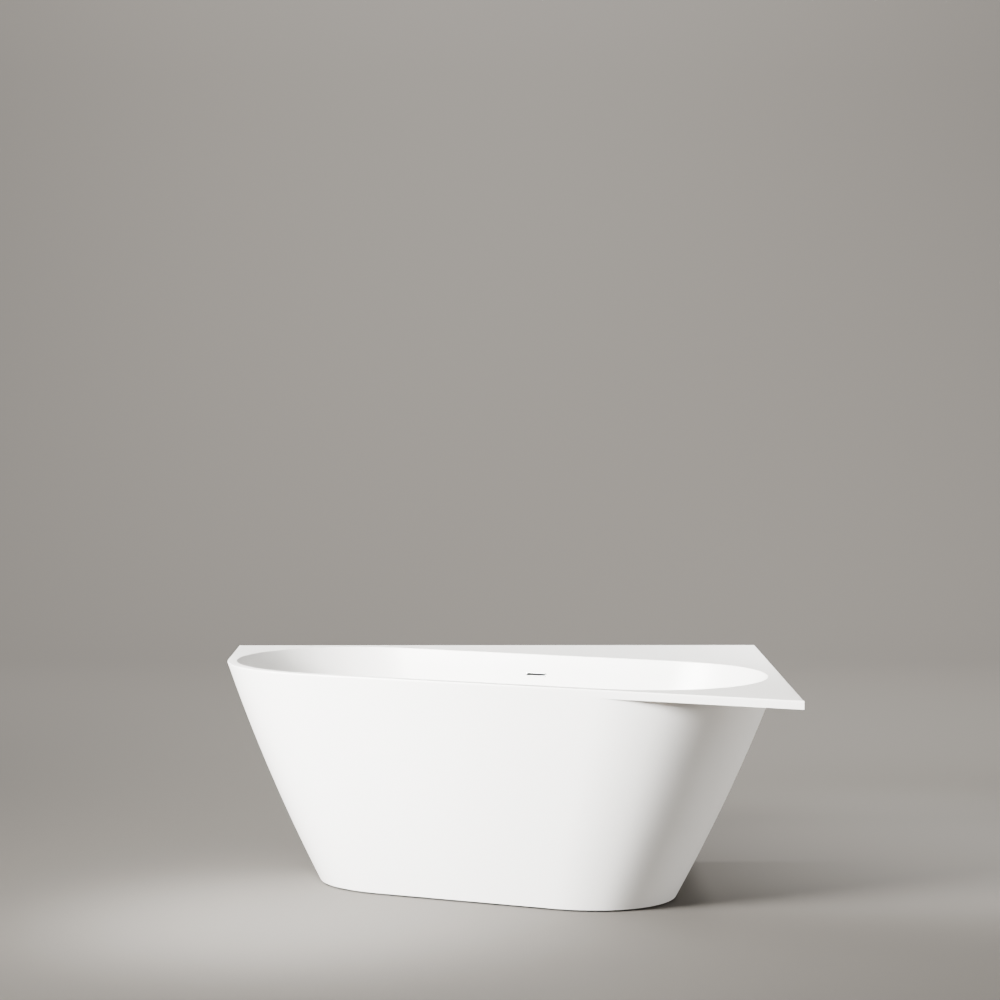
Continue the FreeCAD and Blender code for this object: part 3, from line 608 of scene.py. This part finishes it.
def skin_wall_group():
    inputs = {
        "Top straight": opening_sizes[0],
        "Top shoulder": opening_sizes[1] + strip,
        "Top end": opening_sizes[2] + strip,
        "Foot straight": foot_sizes[0],
        "Foot shoulder": foot_sizes[1],
        "Foot end": foot_sizes[2],
        "Shoulder angle": shoulder_turn,
        "Belly": belly,
        "Shift along": foot_shift[0],
        "Shift back": foot_shift[1],
        "Height": height,
        "Gap": panel_gap,
        "Start level": under_rim,
        "Stop level": panel_gap,
        "Start grow": 0.0,
        "Stop grow": 0.0,
        "Rows": 12,
        "Quarter steps": straight_steps + shoulder_steps + end_steps,
    }
    group, entry, leave = new_group("skin_wall", "GeometryNodeTree", inputs, {"Wall": None})
    calc = partial(work_out, group)
    quarter = entry["Quarter steps"]
    around = calc("MULTIPLY_ADD", quarter, 4.0, 1.0)
    sheet, station, row = grid_sheet(group, around, entry["Rows"])
    down = calc("DIVIDE", row, calc("SUBTRACT", entry["Rows"], 1.0))
    level_drop = calc("SUBTRACT", entry["Stop level"], entry["Start level"])
    level = calc("MULTIPLY_ADD", down, level_drop, entry["Start level"])
    grow_step = calc("SUBTRACT", entry["Stop grow"], entry["Start grow"])
    grow = calc("MULTIPLY_ADD", down, grow_step, entry["Start grow"])
    tall = calc("SUBTRACT", entry["Height"], entry["Gap"])
    fall = calc("DIVIDE", calc("SUBTRACT", entry["Height"], level), tall)
    hump = calc("MULTIPLY", fall, calc("SUBTRACT", 1.0, fall))
    hump = calc("MULTIPLY", hump, calc("MULTIPLY", entry["Belly"], 4.0))
    hump = calc("ADD", hump, grow)

    def between(top, foot, extra):
        change = calc("SUBTRACT", entry[foot], entry[top])
        return calc("ADD", calc("MULTIPLY_ADD", change, fall, entry[top]), extra)

    straight = between("Top straight", "Foot straight", 0.0)
    shoulder = between("Top shoulder", "Foot shoulder", hump)
    end = between("Top end", "Foot end", hump)
    # a station counts round the oval: two quarters forwards and two mirrored
    number = calc("FLOOR", calc("DIVIDE", station, quarter))
    local = calc("SUBTRACT", station, calc("MULTIPLY", number, quarter))
    mirrored = calc("SUBTRACT", quarter, calc("MULTIPLY", local, 2.0))
    local = calc("MULTIPLY_ADD", calc("MODULO", number, 2.0), mirrored, local)
    is_left = calc("MULTIPLY", calc("GREATER_THAN", number, 1.5), -2.0)
    side = calc("MULTIPLY_ADD", is_left, calc("LESS_THAN", number, 3.5), 1.0)
    middle = calc("ABSOLUTE", calc("SUBTRACT", number, 1.5))
    front = calc("ADD", calc("MULTIPLY", calc("LESS_THAN", middle, 1.0), -2.0), 1.0)

    def share(start, count):
        return held_share(group, calc("DIVIDE", calc("SUBTRACT", local, start), count))

    angle = entry["Shoulder angle"]
    first = calc("MULTIPLY", share(straight_steps, shoulder_steps), angle)
    past_shoulder = share(straight_steps + shoulder_steps, end_steps)
    second = calc("MULTIPLY_ADD", past_shoulder, calc("SUBTRACT", math.pi / 2, angle), angle)
    along = calc("MULTIPLY", straight, share(0, straight_steps))
    along = calc("MULTIPLY_ADD", shoulder, calc("SINE", first), along)
    swing = calc("SUBTRACT", calc("SINE", second), calc("SINE", angle))
    along = calc("MULTIPLY_ADD", end, swing, along)
    cosine = calc("COSINE", angle)
    half = calc("MULTIPLY", shoulder, calc("SUBTRACT", 1.0, cosine))
    half = calc("MULTIPLY_ADD", end, cosine, half)
    back = calc("MULTIPLY_ADD", shoulder, calc("SUBTRACT", calc("COSINE", first), 1.0), half)
    back = calc("MULTIPLY_ADD", end, calc("SUBTRACT", calc("COSINE", second), cosine), back)
    along = calc("MULTIPLY_ADD", entry["Shift along"], fall, calc("MULTIPLY", along, side))
    back = calc("MULTIPLY_ADD", entry["Shift back"], fall, calc("MULTIPLY", back, front))
    feed(group, leave, {"Wall": put_points(group, sheet, vector_of(group, along, back, level))})
    return group


skin_build = {"Skin thickness": 0.005, "Flange reach": 0.025, "Opening half": 0.330}


def skin_tree(material):
    wall_group = skin_wall_group()
    inputs = {
        **skin_build,
        "Top level": under_rim,
        "Foot level": panel_gap,
        "Turn": -front_turn,
        "Centre X": centre_x,
        "Centre Y": centre_y,
    }
    group, entry, leave = new_group("outer_skin_shape", "GeometryNodeTree", inputs, {"Skin": None})
    thin = work_out(group, "MULTIPLY", entry["Skin thickness"], -1.0)
    lip = work_out(group, "MULTIPLY", entry["Flange reach"], -1.0)
    top, foot = entry["Top level"], entry["Foot level"]
    ledge = work_out(group, "ADD", foot, entry["Skin thickness"])
    joined = group.nodes.new("GeometryNodeJoinGeometry")
    for start, stop, start_grow, stop_grow, rows in (
        (top, foot, 0.0, 0.0, 25),
        (foot, foot, 0.0, lip, 2),
        (foot, ledge, lip, lip, 2),
        (ledge, ledge, lip, thin, 2),
        (ledge, top, thin, thin, 25),
        (top, top, thin, 0.0, 2),
    ):
        levels = {"Start level": start, "Stop level": stop, "Rows": rows}
        grows = {"Start grow": start_grow, "Stop grow": stop_grow}
        part = add_node(group, "GeometryNodeGroup", {**levels, **grows}, node_tree=wall_group)
        feed(group, joined, {"Geometry": part.outputs["Wall"]})
    weld = {"Geometry": joined.outputs["Geometry"], "Distance": 0.00002}
    merged = add_node(group, "GeometryNodeMergeByDistance", weld)
    block_wide = work_out(group, "MULTIPLY", entry["Opening half"], 2.0)
    block_deep, block_tall = 1.0, 2.0
    block_size = vector_of(group, block_wide, block_deep, block_tall)
    block = add_node(group, "GeometryNodeMeshCube", {"Size": block_size})
    behind = {"Geometry": block.outputs["Mesh"], "Translation": (0.0, block_deep / 2, 0.0)}
    moved = add_node(group, "GeometryNodeTransform", behind)
    cut = {"Mesh 1": merged.outputs["Geometry"], "Mesh 2": moved.outputs["Geometry"]}
    opened = add_node(group, "GeometryNodeMeshBoolean", cut, operation="DIFFERENCE", solver="EXACT")
    spot = vector_of(group, entry["Centre X"], entry["Centre Y"])
    turn = vector_of(group, z=entry["Turn"])
    return close_tree(
        group, leave, opened.outputs["Mesh"], material, Translation=spot, Rotation=turn
    )


def grow_from_tree(name, group, values, start=None, sharp=30.0):
    holder = link_mesh(name, start or bpy.data.meshes.new(name + "_start"))
    growth = holder.modifiers.new("growth", "NODES")
    growth.node_group = group
    for socket in group.interface.items_tree:
        if socket.in_out == "INPUT" and socket.name in values:
            growth[socket.identifier] = values[socket.name]
    shape, materials = evaluated_shape(holder)
    mesh = finish_mesh(shape, name, sharp)
    for material in materials:
        mesh.materials.append(material)
    return link_mesh(name, mesh)


skin = grow_from_tree("outer_skin_shell", skin_tree(acrylic), skin_build)
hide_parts("outer_skin")
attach(skin, "tub")


# ---- Boards ----
# Pressed wood boards stiffen the deck and the basin floor from below. They are bonded on
# with resin, so flakes show through a thin milky film.
def cell_tones(tree, where, scale):
    cells = add_node(tree, "ShaderNodeTexVoronoi", {"Vector": where, "Scale": scale})
    return add_node(tree, "ShaderNodeSeparateColor", {"Color": cells.outputs["Color"]}).outputs


def dress_nodes(material, *nodes):
    for node in nodes:
        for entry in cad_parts[node].material_slots:
            entry.link = "OBJECT"
            entry.material = material


def resin_bonded_board():
    material, tree, shader = new_material("resin_bonded_board")
    where = tree.nodes.new("ShaderNodeTexCoord").outputs["Object"]
    flakes = cell_tones(tree, where, 130.0)
    wood = colour_ramp(tree, flakes["Red"], (0.30, 0.19, 0.095), (0.60, 0.44, 0.27))
    wood.color_ramp.elements.new(0.5).color = (0.47, 0.33, 0.19, 1.0)
    film = map_range(tree, noise(tree, where, 14.0, 6.0), 0.42, 0.62, 0.0, 0.55)
    milky = (0.70, 0.68, 0.62, 1.0)
    finish = {
        "Base Color": mix_colours(tree, film, wood.outputs["Color"], milky),
        "Roughness": map_range(tree, film, 0.0, 1.0, 0.75, 0.35),
        "Normal": relief(tree, 0.55, 0.0006, flakes["Green"]),
    }
    feed(tree, shader, finish)
    return material


dress_nodes(resin_bonded_board(), "deck_board", "floor_board")


# ---- Waste cover ----
# A push-down cover, a flat painted metal plate with a softly rounded edge. Its boss is
# screwed to the lift stem, and it lies flush with the basin floor in a recessed pocket.
def round_point(middle, radius, turn, level):
    return Vector((middle.x + radius * math.cos(turn), middle.y + radius * math.sin(turn), level))


def turned_mesh(name, profile, middle, steps):
    turns = [2 * math.pi * step / steps for step in range(steps)]
    shape = bmesh.new()
    rings = []
    for radius, level in profile:
        spots = [round_point(middle, radius, turn, level) for turn in turns]
        rings.append([shape.verts.new(spot) for spot in (spots if radius > 0.0 else spots[:1])])
    for one, two in zip(rings, rings[1:]):
        for step in range(steps):
            after = step + 1
            corners = [one[step % len(one)], one[after % len(one)]]
            corners += [two[after % len(two)], two[step % len(two)]]
            shape.faces.new(list(dict.fromkeys(corners)))
    return finish_mesh(shape, name)


cover_radius, cover_thick, cover_edge, under_edge = 0.0345, 0.004, 0.0011, 0.0004
boss_radius, boss_deep, boss_edge = 0.010, 0.009, 0.0005
thread_radius, thread_top = 0.004, 0.002
cover_top = floor_level
cover_low = cover_top - cover_thick
cover_rings = (0.0, 0.02, cover_radius - flat_strip)
cover_profile = [(radius, cover_top) for radius in cover_rings]
for inset, drop in quarter_round(cover_edge, 6):
    cover_profile.append((cover_radius - inset, cover_top - drop))
cover_profile += [
    (cover_radius, cover_low + under_edge),
    (cover_radius - under_edge, cover_low),
    (boss_radius, cover_low),
    (boss_radius, cover_low - boss_deep + boss_edge),
    (boss_radius - boss_edge, cover_low - boss_deep),
    (thread_radius, cover_low - boss_deep),
    (thread_radius, cover_low - thread_top),
    (0.0, cover_low - thread_top),
]
cover_paint = moulded_material(
    "white_cover_paint", (0.830, 0.824, 0.805), (0.810, 0.803, 0.784),
    patch=9.0, grain=700.0, gloss=(0.30, 0.40), bump=0.06, coat=0.2,
)
cover_plate = turned_mesh("waste_cover_plate", cover_profile, waste_centre, 96)
cover = link_mesh("waste_cover_plate", cover_plate, cover_paint)
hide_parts("waste_cover")
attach(cover, "pop_up_cover")


# ---- Bright and turned metal ----
# The waste flange and the slot liner are chromed, the click cartridge is turned brass. Both
# keep very fine turning lines, and their gloss is broken by faint water marks.
def turning_lines_group():
    inputs = {
        "Line scale": 900.0,
        "Gloss low": 0.05,
        "Gloss high": 0.15,
        "Colour": (0.8, 0.8, 0.8, 1.0),
        "Mark colour": (0.7, 0.7, 0.7, 1.0),
    }
    group, entry, leave = new_group("turning_lines", "ShaderNodeTree", inputs, finish_outputs)
    where = group.nodes.new("ShaderNodeTexCoord").outputs["Object"]
    bands = {"Vector": where, "Scale": entry["Line scale"], "Distortion": 0.6}
    lines = add_node(group, "ShaderNodeTexWave", bands, wave_type="BANDS", bands_direction="Z")
    marks = noise(group, where, 120.0, 5.0)
    finish = {
        "Colour": mix_colours(group, marks, entry["Colour"], entry["Mark colour"]),
        "Roughness": map_range(group, marks, 0.35, 0.7, entry["Gloss low"], entry["Gloss high"]),
        "Height": lines.outputs["Fac"],
    }
    feed(group, leave, finish)
    return group


turning_lines = turning_lines_group()


def bright_material(name, colour, marks, lines, gloss, bump):
    values = {
        "Line scale": lines,
        "Gloss low": gloss[0],
        "Gloss high": gloss[1],
        "Colour": (*colour, 1.0),
        "Mark colour": (*marks, 1.0),
    }
    return grouped_material(name, turning_lines, values, bump, 0.0002, {"Metallic": 1.0})


chrome = bright_material(
    "polished_chrome", (0.72, 0.73, 0.75), (0.66, 0.67, 0.69), lines=700.0, gloss=(0.06, 0.16), bump=0.03
)
brass = bright_material(
    "turned_brass", (0.72, 0.54, 0.26), (0.60, 0.42, 0.18), lines=900.0, gloss=(0.22, 0.34), bump=0.12
)
dress_nodes(chrome, "waste_flange")
dress_nodes(brass, "waste_cartridge")


# ---- Overflow slot liner ----
# A pressed oval sleeve lines the slot. Its narrow collar lies on the basin wall with a
# rounded lip, and its tail passes through the wall into the chamber behind.
liner_wall, collar, ease = 0.0010, 0.0012, 0.00005
gasket, tail_past = 0.002, 0.002
tail = wall * math.cos(slot_lean) + gasket + tail_past
liner_rows = [
    (-liner_wall, tail),
    (-liner_wall, tail / 2),
    (-liner_wall, 0.0),
    (-liner_wall * 0.8, -0.0006),
    (-liner_wall * 0.4, -0.0009),
    (0.0002, -0.0010),
    (collar * 0.6, -0.0009),
    (collar * 0.9, -0.0006),
    (collar, 0.0),
    (-ease, 0.0),
    (-ease, tail),
    (-liner_wall, tail),
]
liner_shape = bmesh.new()
add_rings(
    liner_shape,
    [slot_outline(slot_long + 2 * grow, slot_tall + 2 * grow, out, 14) for grow, out in liner_rows],
)
liner = link_mesh("slot_liner_sleeve", finish_mesh(liner_shape, "slot_liner_sleeve", 50.0), chrome)
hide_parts("slot_liner")
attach(liner, "tub")


# ---- White drain mouldings ----
# The overflow chamber, waste body, trap and outlet pipe are moulded in plain white
# polypropylene, duller than the bath and slightly cooler.
white_plastic = moulded_material(
    "white_drain_moulding", (0.53, 0.53, 0.52), (0.49, 0.49, 0.48),
    patch=16.0, grain=1300.0, gloss=(0.42, 0.55), bump=0.12,
)
drain_mouldings = ("overflow_chamber", "waste_body", "trap_body", "trap_cup", "outlet_pipe")
dress_nodes(white_plastic, *drain_mouldings)


# ---- Ribbed nuts ----
# Two hand-tightened union nuts hold the trap on the waste and the pipe in its socket. Each
# is a white moulding with rounded grip ribs round it and a bevel at both ends.
def round_spot(group, radius, turn, level):
    across = work_out(group, "MULTIPLY", radius, work_out(group, "COSINE", turn))
    back = work_out(group, "MULTIPLY", radius, work_out(group, "SINE", turn))
    return vector_of(group, across, back, level)


nut_build = {"Rib depth": 0.0016, "Bevel": 0.0015, "Bore at start": 0.0203, "Step at": 0.003}


def ribbed_nut_tree(material):
    inputs = {
        **nut_build,
        "Outer radius": 0.032,
        "Ribs": 20.0,
        "Bore at stop": 0.024,
        "Length": 0.017,
        "Seat": (0.0, 0.0, 0.0),
        "Turn": (0.0, 0.0, 0.0),
    }
    group, entry, leave = new_group("ribbed_nut", "GeometryNodeTree", inputs, {"Nut": None})
    calc = partial(work_out, group)
    sides, rows = 240, 11
    sheet, column, row = grid_sheet(group, sides + 1, rows)
    turn = calc("MULTIPLY", column, 2 * math.pi / sides)
    wave = calc("COSINE", calc("MULTIPLY", turn, entry["Ribs"]))
    wave = calc("MULTIPLY_ADD", wave, 0.5, 0.5)
    groove = calc("MULTIPLY", calc("POWER", wave, 2.5), entry["Rib depth"])
    grip = calc("SUBTRACT", entry["Outer radius"], groove)
    low = calc("SUBTRACT", entry["Outer radius"], entry["Rib depth"])
    low = calc("SUBTRACT", low, entry["Bevel"])
    start_bore, stop_bore = entry["Bore at start"], entry["Bore at stop"]
    long, bevel, step = entry["Length"], entry["Bevel"], entry["Step at"]
    corners = [
        (start_bore, 0.0),
        (low, 0.0),
        (grip, bevel),
        (grip, calc("MULTIPLY", long, 0.5)),
        (grip, calc("SUBTRACT", long, bevel)),
        (low, long),
        (stop_bore, long),
        (stop_bore, calc("MULTIPLY", long, 0.6)),
        (stop_bore, step),
        (start_bore, step),
        (start_bore, 0.0),
    ]
    radius, level = 0.0, 0.0
    for number, (reach, rise) in enumerate(corners):
        here = calc("COMPARE", row, number, 0.1)
        radius = calc("MULTIPLY_ADD", here, reach, radius)
        level = calc("MULTIPLY_ADD", here, rise, level)
    nut = put_points(group, sheet, round_spot(group, radius, turn, level))
    return close_tree(group, leave, nut, material, Translation=entry["Seat"], Rotation=entry["Turn"])


ribbed_nut = ribbed_nut_tree(white_plastic)
trap_nut_level = 0.086
bottle_radius, socket_long, outlet_level, nut_past_face = 0.042, 0.034, 0.060, 0.006
outlet_face = waste_centre.y + bottle_radius + socket_long
trap_nut = grow_from_tree(
    "trap_union_nut",
    ribbed_nut,
    {
        **nut_build,
        "Outer radius": 0.032,
        "Bore at stop": 0.02395,
        "Length": 0.017,
        "Seat": (waste_centre.x, waste_centre.y, trap_nut_level),
    },
)
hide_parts("trap_nut")
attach(trap_nut, "tub")
outlet_nut = grow_from_tree(
    "outlet_union_nut",
    ribbed_nut,
    {
        **nut_build,
        "Outer radius": 0.029,
        "Ribs": 18.0,
        "Bore at stop": 0.02305,
        "Length": 0.020,
        "Seat": (waste_centre.x, outlet_face + nut_past_face, outlet_level),
        "Turn": (math.radians(90.0), 0.0, 0.0),
    },
)
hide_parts("outlet_nut")
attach(outlet_nut, "tub")


# ---- Overflow hose ----
# A corrugated grey hose runs down behind the wall from the chamber, turns once and ends on
# the side port of the waste. Its two cuffs are smooth, for the clamps.
hose_plastic = moulded_material(
    "grey_hose_plastic", (0.38, 0.39, 0.40), (0.33, 0.34, 0.35),
    patch=22.0, grain=1500.0, gloss=(0.45, 0.58), bump=0.12,
)
chamber_deep, port_shift, hose_start, port_cover = 0.029, 0.0015, 0.024, 0.018
port_level, port_reach = 0.122, 0.062
port_out = wall * math.cos(slot_lean) + gasket + chamber_deep / 2 + port_shift
hose_top = slot_point(0.0, port_out, -hose_start)
port_back = waste_back + port_reach
top_back = (hose_top - place(0.0, 0.0, 0.0)).dot(back_way)
sink = top_back - (hose_top.z - port_level) * math.tan(slot_lean) - port_back
bend_radius = sink / (math.cos(slot_lean) - (1 - math.sin(slot_lean)) * math.tan(slot_lean))
hose_spots = [hose_top]
for step in range(25):
    turn = slot_lean + (math.pi / 2 - slot_lean) * step / 24
    back = port_back + bend_radius * math.cos(turn)
    hose_spots.append(place(0.0, back, port_level + bend_radius * (1 - math.sin(turn))))
hose_spots.append(place(0.0, port_back - port_cover, port_level))


hose_build = {"Radius": 0.01455, "Groove depth": 0.0016, "Pitch": 0.0048, "Cuff": 0.030}


def corrugated_tree(material):
    inputs = {"Path": None, **hose_build}
    group, entry, leave = new_group("corrugated_hose", "GeometryNodeTree", inputs, {"Hose": None})
    calc = partial(work_out, group)
    line = add_node(group, "GeometryNodeMeshToCurve", {"Mesh": entry["Path"]})
    spacing = {"Curve": line.outputs["Curve"], "Length": 0.0008}
    even = add_node(group, "GeometryNodeResampleCurve", spacing, mode="LENGTH")
    gone = group.nodes.new("GeometryNodeSplineParameter").outputs["Length"]
    whole = group.nodes.new("GeometryNodeSplineLength").outputs["Length"]
    from_end = calc("MINIMUM", gone, calc("SUBTRACT", whole, gone))
    past_cuff = calc("GREATER_THAN", from_end, entry["Cuff"])
    wave = calc("DIVIDE", calc("SUBTRACT", gone, entry["Cuff"]), entry["Pitch"])
    wave = calc("COSINE", calc("MULTIPLY", wave, 2 * math.pi))
    dip = calc("MULTIPLY_ADD", wave, -0.5, 0.5)
    dip = calc("MULTIPLY", calc("MULTIPLY", dip, entry["Groove depth"]), past_cuff)
    bulk = {"Curve": even.outputs["Curve"], "Radius": calc("SUBTRACT", entry["Radius"], dip)}
    swollen = add_node(group, "GeometryNodeSetCurveRadius", bulk)
    ring = add_node(group, "GeometryNodeCurvePrimitiveCircle", {"Resolution": 40, "Radius": 1.0})
    outline = {
        "Curve": swollen.outputs["Curve"],
        "Profile Curve": ring.outputs["Curve"],
        "Scale": group.nodes.new("GeometryNodeInputRadius").outputs["Radius"],
        "Fill Caps": True,
    }
    tube = add_node(group, "GeometryNodeCurveToMesh", outline)
    return close_tree(group, leave, tube.outputs["Mesh"], material)


hose_line = bpy.data.meshes.new("hose_line")
hose_steps = [(step, step + 1) for step in range(len(hose_spots) - 1)]
hose_line.from_pydata([tuple(spot) for spot in hose_spots], hose_steps, [])
hose_tree = corrugated_tree(hose_plastic)
hose = grow_from_tree("corrugated_overflow_hose", hose_tree, hose_build, hose_line, sharp=60.0)
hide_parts("overflow_hose")
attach(hose, "tub")


# ---- Seals ----
# Black rubber rings and flat gaskets sit between the cover, flange, bath, trap and pipe.
# Each is moulded or stamped, and seals where the pieces round it press on it.
rubber = moulded_material(
    "black_rubber", (0.022, 0.022, 0.023), (0.034, 0.034, 0.035),
    patch=30.0, grain=1100.0, gloss=(0.55, 0.72), bump=0.3, specular=0.3,
)
seals = ("cover_seal", "trap_seal", "trap_cup_seal", "outlet_seal")
gaskets = ("waste_upper_gasket", "waste_lower_gasket", "overflow_gasket")
dress_nodes(rubber, *seals, *gaskets)


# ---- Zinc-plated steel ----
# The rails, brackets, screws, nuts and rods are plain steel with a bluish zinc plating. It
# is cloudy with faint crystals, and duller where it has been handled.
def zinc_plated_steel():
    material, tree, shader = new_material("zinc_plated_steel")
    where = tree.nodes.new("ShaderNodeTexCoord").outputs["Object"]
    crystals = cell_tones(tree, where, 90.0)
    plating = colour_ramp(tree, crystals["Red"], (0.46, 0.48, 0.51), (0.62, 0.63, 0.65))
    cloud = noise(tree, where, 26.0, 5.0)
    handled = (0.50, 0.50, 0.49, 1.0)
    finish = {
        "Base Color": mix_colours(tree, cloud, plating.outputs["Color"], handled),
        "Roughness": map_range(tree, cloud, 0.3, 0.7, 0.28, 0.5),
        "Normal": relief(tree, 0.1, 0.0003, crystals["Green"]),
        "Metallic": 1.0,
    }
    feed(tree, shader, finish)
    return material


zinc = zinc_plated_steel()
dress_nodes(zinc, "rail_left", "rail_right", "skin_brackets", "hose_clamps", "lift_stem", "click_spring")
dress_nodes(zinc, "bracket_bolts", "board_screws", "flange_screws", "chamber_screws", "foot_nuts")


# ---- Levelling feet ----
# Four feet carry the bath. Each has a black moulded pad with a ribbed hub, in which a
# zinc-plated threaded rod turns. A hexagon near its foot takes a spanner, and under the rail
# the rod runs through a welded nut and a lock nut.
pad_plastic = moulded_material(
    "black_pad_plastic", (0.028, 0.028, 0.030), (0.040, 0.040, 0.042),
    patch=40.0, grain=1600.0, gloss=(0.45, 0.6), bump=0.3, specular=0.35,
)
foot_along, foot_front, foot_back = 0.250, -0.165, 0.150
foot_spots = {
    1: place(-foot_along, foot_front, 0.0),
    2: place(-foot_along, foot_back, 0.0),
    3: place(foot_along, foot_front, 0.0),
    4: place(foot_along, foot_back, 0.0),
}


rod_build = {"Radius": 0.006, "Thread depth": 0.0009, "Pitch": 0.00175, "Bottom": 0.01005, "Top": 0.128}


def threaded_rod_tree(material):
    inputs = {**rod_build, "Seat": (0.0, 0.0, 0.0)}
    group, entry, leave = new_group("threaded_rod", "GeometryNodeTree", inputs, {"Rod": None})
    calc = partial(work_out, group)
    sides, rows = 24, 410
    sheet, column, row = grid_sheet(group, sides + 1, rows)
    turn = calc("DIVIDE", column, sides)
    rise = held_share(group, calc("DIVIDE", calc("SUBTRACT", row, 1.0), rows - 3))
    tall = calc("SUBTRACT", entry["Top"], entry["Bottom"])
    level = calc("MULTIPLY_ADD", rise, tall, entry["Bottom"])
    wind = calc("SUBTRACT", calc("DIVIDE", level, entry["Pitch"]), turn)
    depth_slope = calc("MULTIPLY", entry["Thread depth"], 2.0)
    groove = calc("MULTIPLY", calc("PINGPONG", wind, 0.5), depth_slope)
    inside = calc("MINIMUM", row, calc("SUBTRACT", rows - 1, row))
    radius = calc("SUBTRACT", entry["Radius"], groove)
    radius = calc("MULTIPLY", radius, calc("GREATER_THAN", inside, 0.5))
    angle = calc("MULTIPLY", turn, 2 * math.pi)
    rod = put_points(group, sheet, round_spot(group, radius, angle, level))
    return close_tree(group, leave, rod, material, Translation=entry["Seat"])


def hexagon_rings(spot, flats, bore, low, high):
    corner_cut, bore_edge, steps = flats / 2 * 0.97, 0.0005, 48
    columns = []
    for step in range(steps):
        turn = 2 * math.pi * step / steps
        off = (turn + math.pi / 6) % (math.pi / 3) - math.pi / 6
        reach = flats / 2 / math.cos(off)
        drop = max(0.0, reach - corner_cut) * math.tan(math.radians(30.0))
        profile = [
            (bore, low + bore_edge),
            (bore + bore_edge, low),
            (corner_cut, low),
            (reach, low + drop),
            (reach, high - drop),
            (corner_cut, high),
            (bore + bore_edge, high),
            (bore, high - bore_edge),
            (bore, low + bore_edge),
        ]
        columns.append([round_point(spot, radius, turn, level) for radius, level in profile])
    return [list(row) for row in zip(*columns)]


pad_profile = [
    (0.0, 0.0),
    (0.0238, 0.0),
    (0.0250, 0.0010),
    (0.0250, 0.0078),
    (0.0246, 0.0090),
    (0.0238, 0.0098),
    (0.0228, 0.0100),
    (0.0134, 0.0100),
    (0.0124, 0.0106),
    (0.0120, 0.0118),
    (0.0120, 0.0212),
    (0.0113, 0.0220),
    (0.00605, 0.0220),
    (0.00605, 0.0100),
    (0.0, 0.0100),
]
pad_ribs, rib_half = 8, 0.0008
rib_corners = ((0.0110, 0.0099), (0.0220, 0.0099), (0.0122, 0.0190))
rod_flats, rod_bore, hexagon_low, hexagon_high = 0.015, 0.0048, 0.023, 0.031


def add_pad_rib(shape, spot, turn):
    corners = []
    for across in (-rib_half, rib_half):
        corners += [spot + turn @ Vector((reach, across, level)) for reach, level in rib_corners]
    verts = [shape.verts.new(corner) for corner in corners]
    shape.faces.new((verts[0], verts[1], verts[2]))
    shape.faces.new((verts[3], verts[5], verts[4]))
    for one, two in ((0, 1), (1, 2), (2, 0)):
        shape.faces.new((verts[one], verts[one + 3], verts[two + 3], verts[two]))


threaded_rod = threaded_rod_tree(zinc)
for number, spot in foot_spots.items():
    seated = {**rod_build, "Seat": (spot.x, spot.y, 0.0)}
    rod = grow_from_tree("foot_%d_threaded_rod" % number, threaded_rod, seated, sharp=40.0)
    both = bmesh.new()
    both.from_mesh(rod.data)
    add_rings(both, hexagon_rings(spot, rod_flats, rod_bore, hexagon_low, hexagon_high))
    rod.data = finish_mesh(both, "foot_%d_rod_shape" % number)
    rod.data.materials.append(zinc)
    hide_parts("foot_%d_rod" % number)
    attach(rod, "foot_%d_screw" % number)
    ribbed = bmesh.new()
    ribbed.from_mesh(turned_mesh("foot_%d_pad_shape" % number, pad_profile, spot, 72))
    for rib in range(pad_ribs):
        add_pad_rib(ribbed, spot, Matrix.Rotation(2 * math.pi / pad_ribs * rib, 4, "Z"))
    pad_mesh = finish_mesh(ribbed, "foot_%d_pad_moulding" % number)
    pad = link_mesh("foot_%d_pad_moulding" % number, pad_mesh, pad_plastic)
    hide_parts("foot_%d_pad" % number)
    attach(pad, "foot_%d" % number)
board_thick, rail_tall = 0.015, 0.030
nut_flats, nut_thread, nut_tall = 0.019, 0.00605, 0.010
rail_low = floor_level - wall - board_thick - rail_tall
nut_shape = bmesh.new()
for spot in foot_spots.values():
    for low in (rail_low - nut_tall, rail_low - 2 * nut_tall):
        add_rings(nut_shape, hexagon_rings(spot, nut_flats, nut_thread, low, low + nut_tall))
nuts = link_mesh("foot_lock_nuts", finish_mesh(nut_shape, "foot_lock_nuts"), zinc)
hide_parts("foot_nuts")
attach(nuts, "tub")
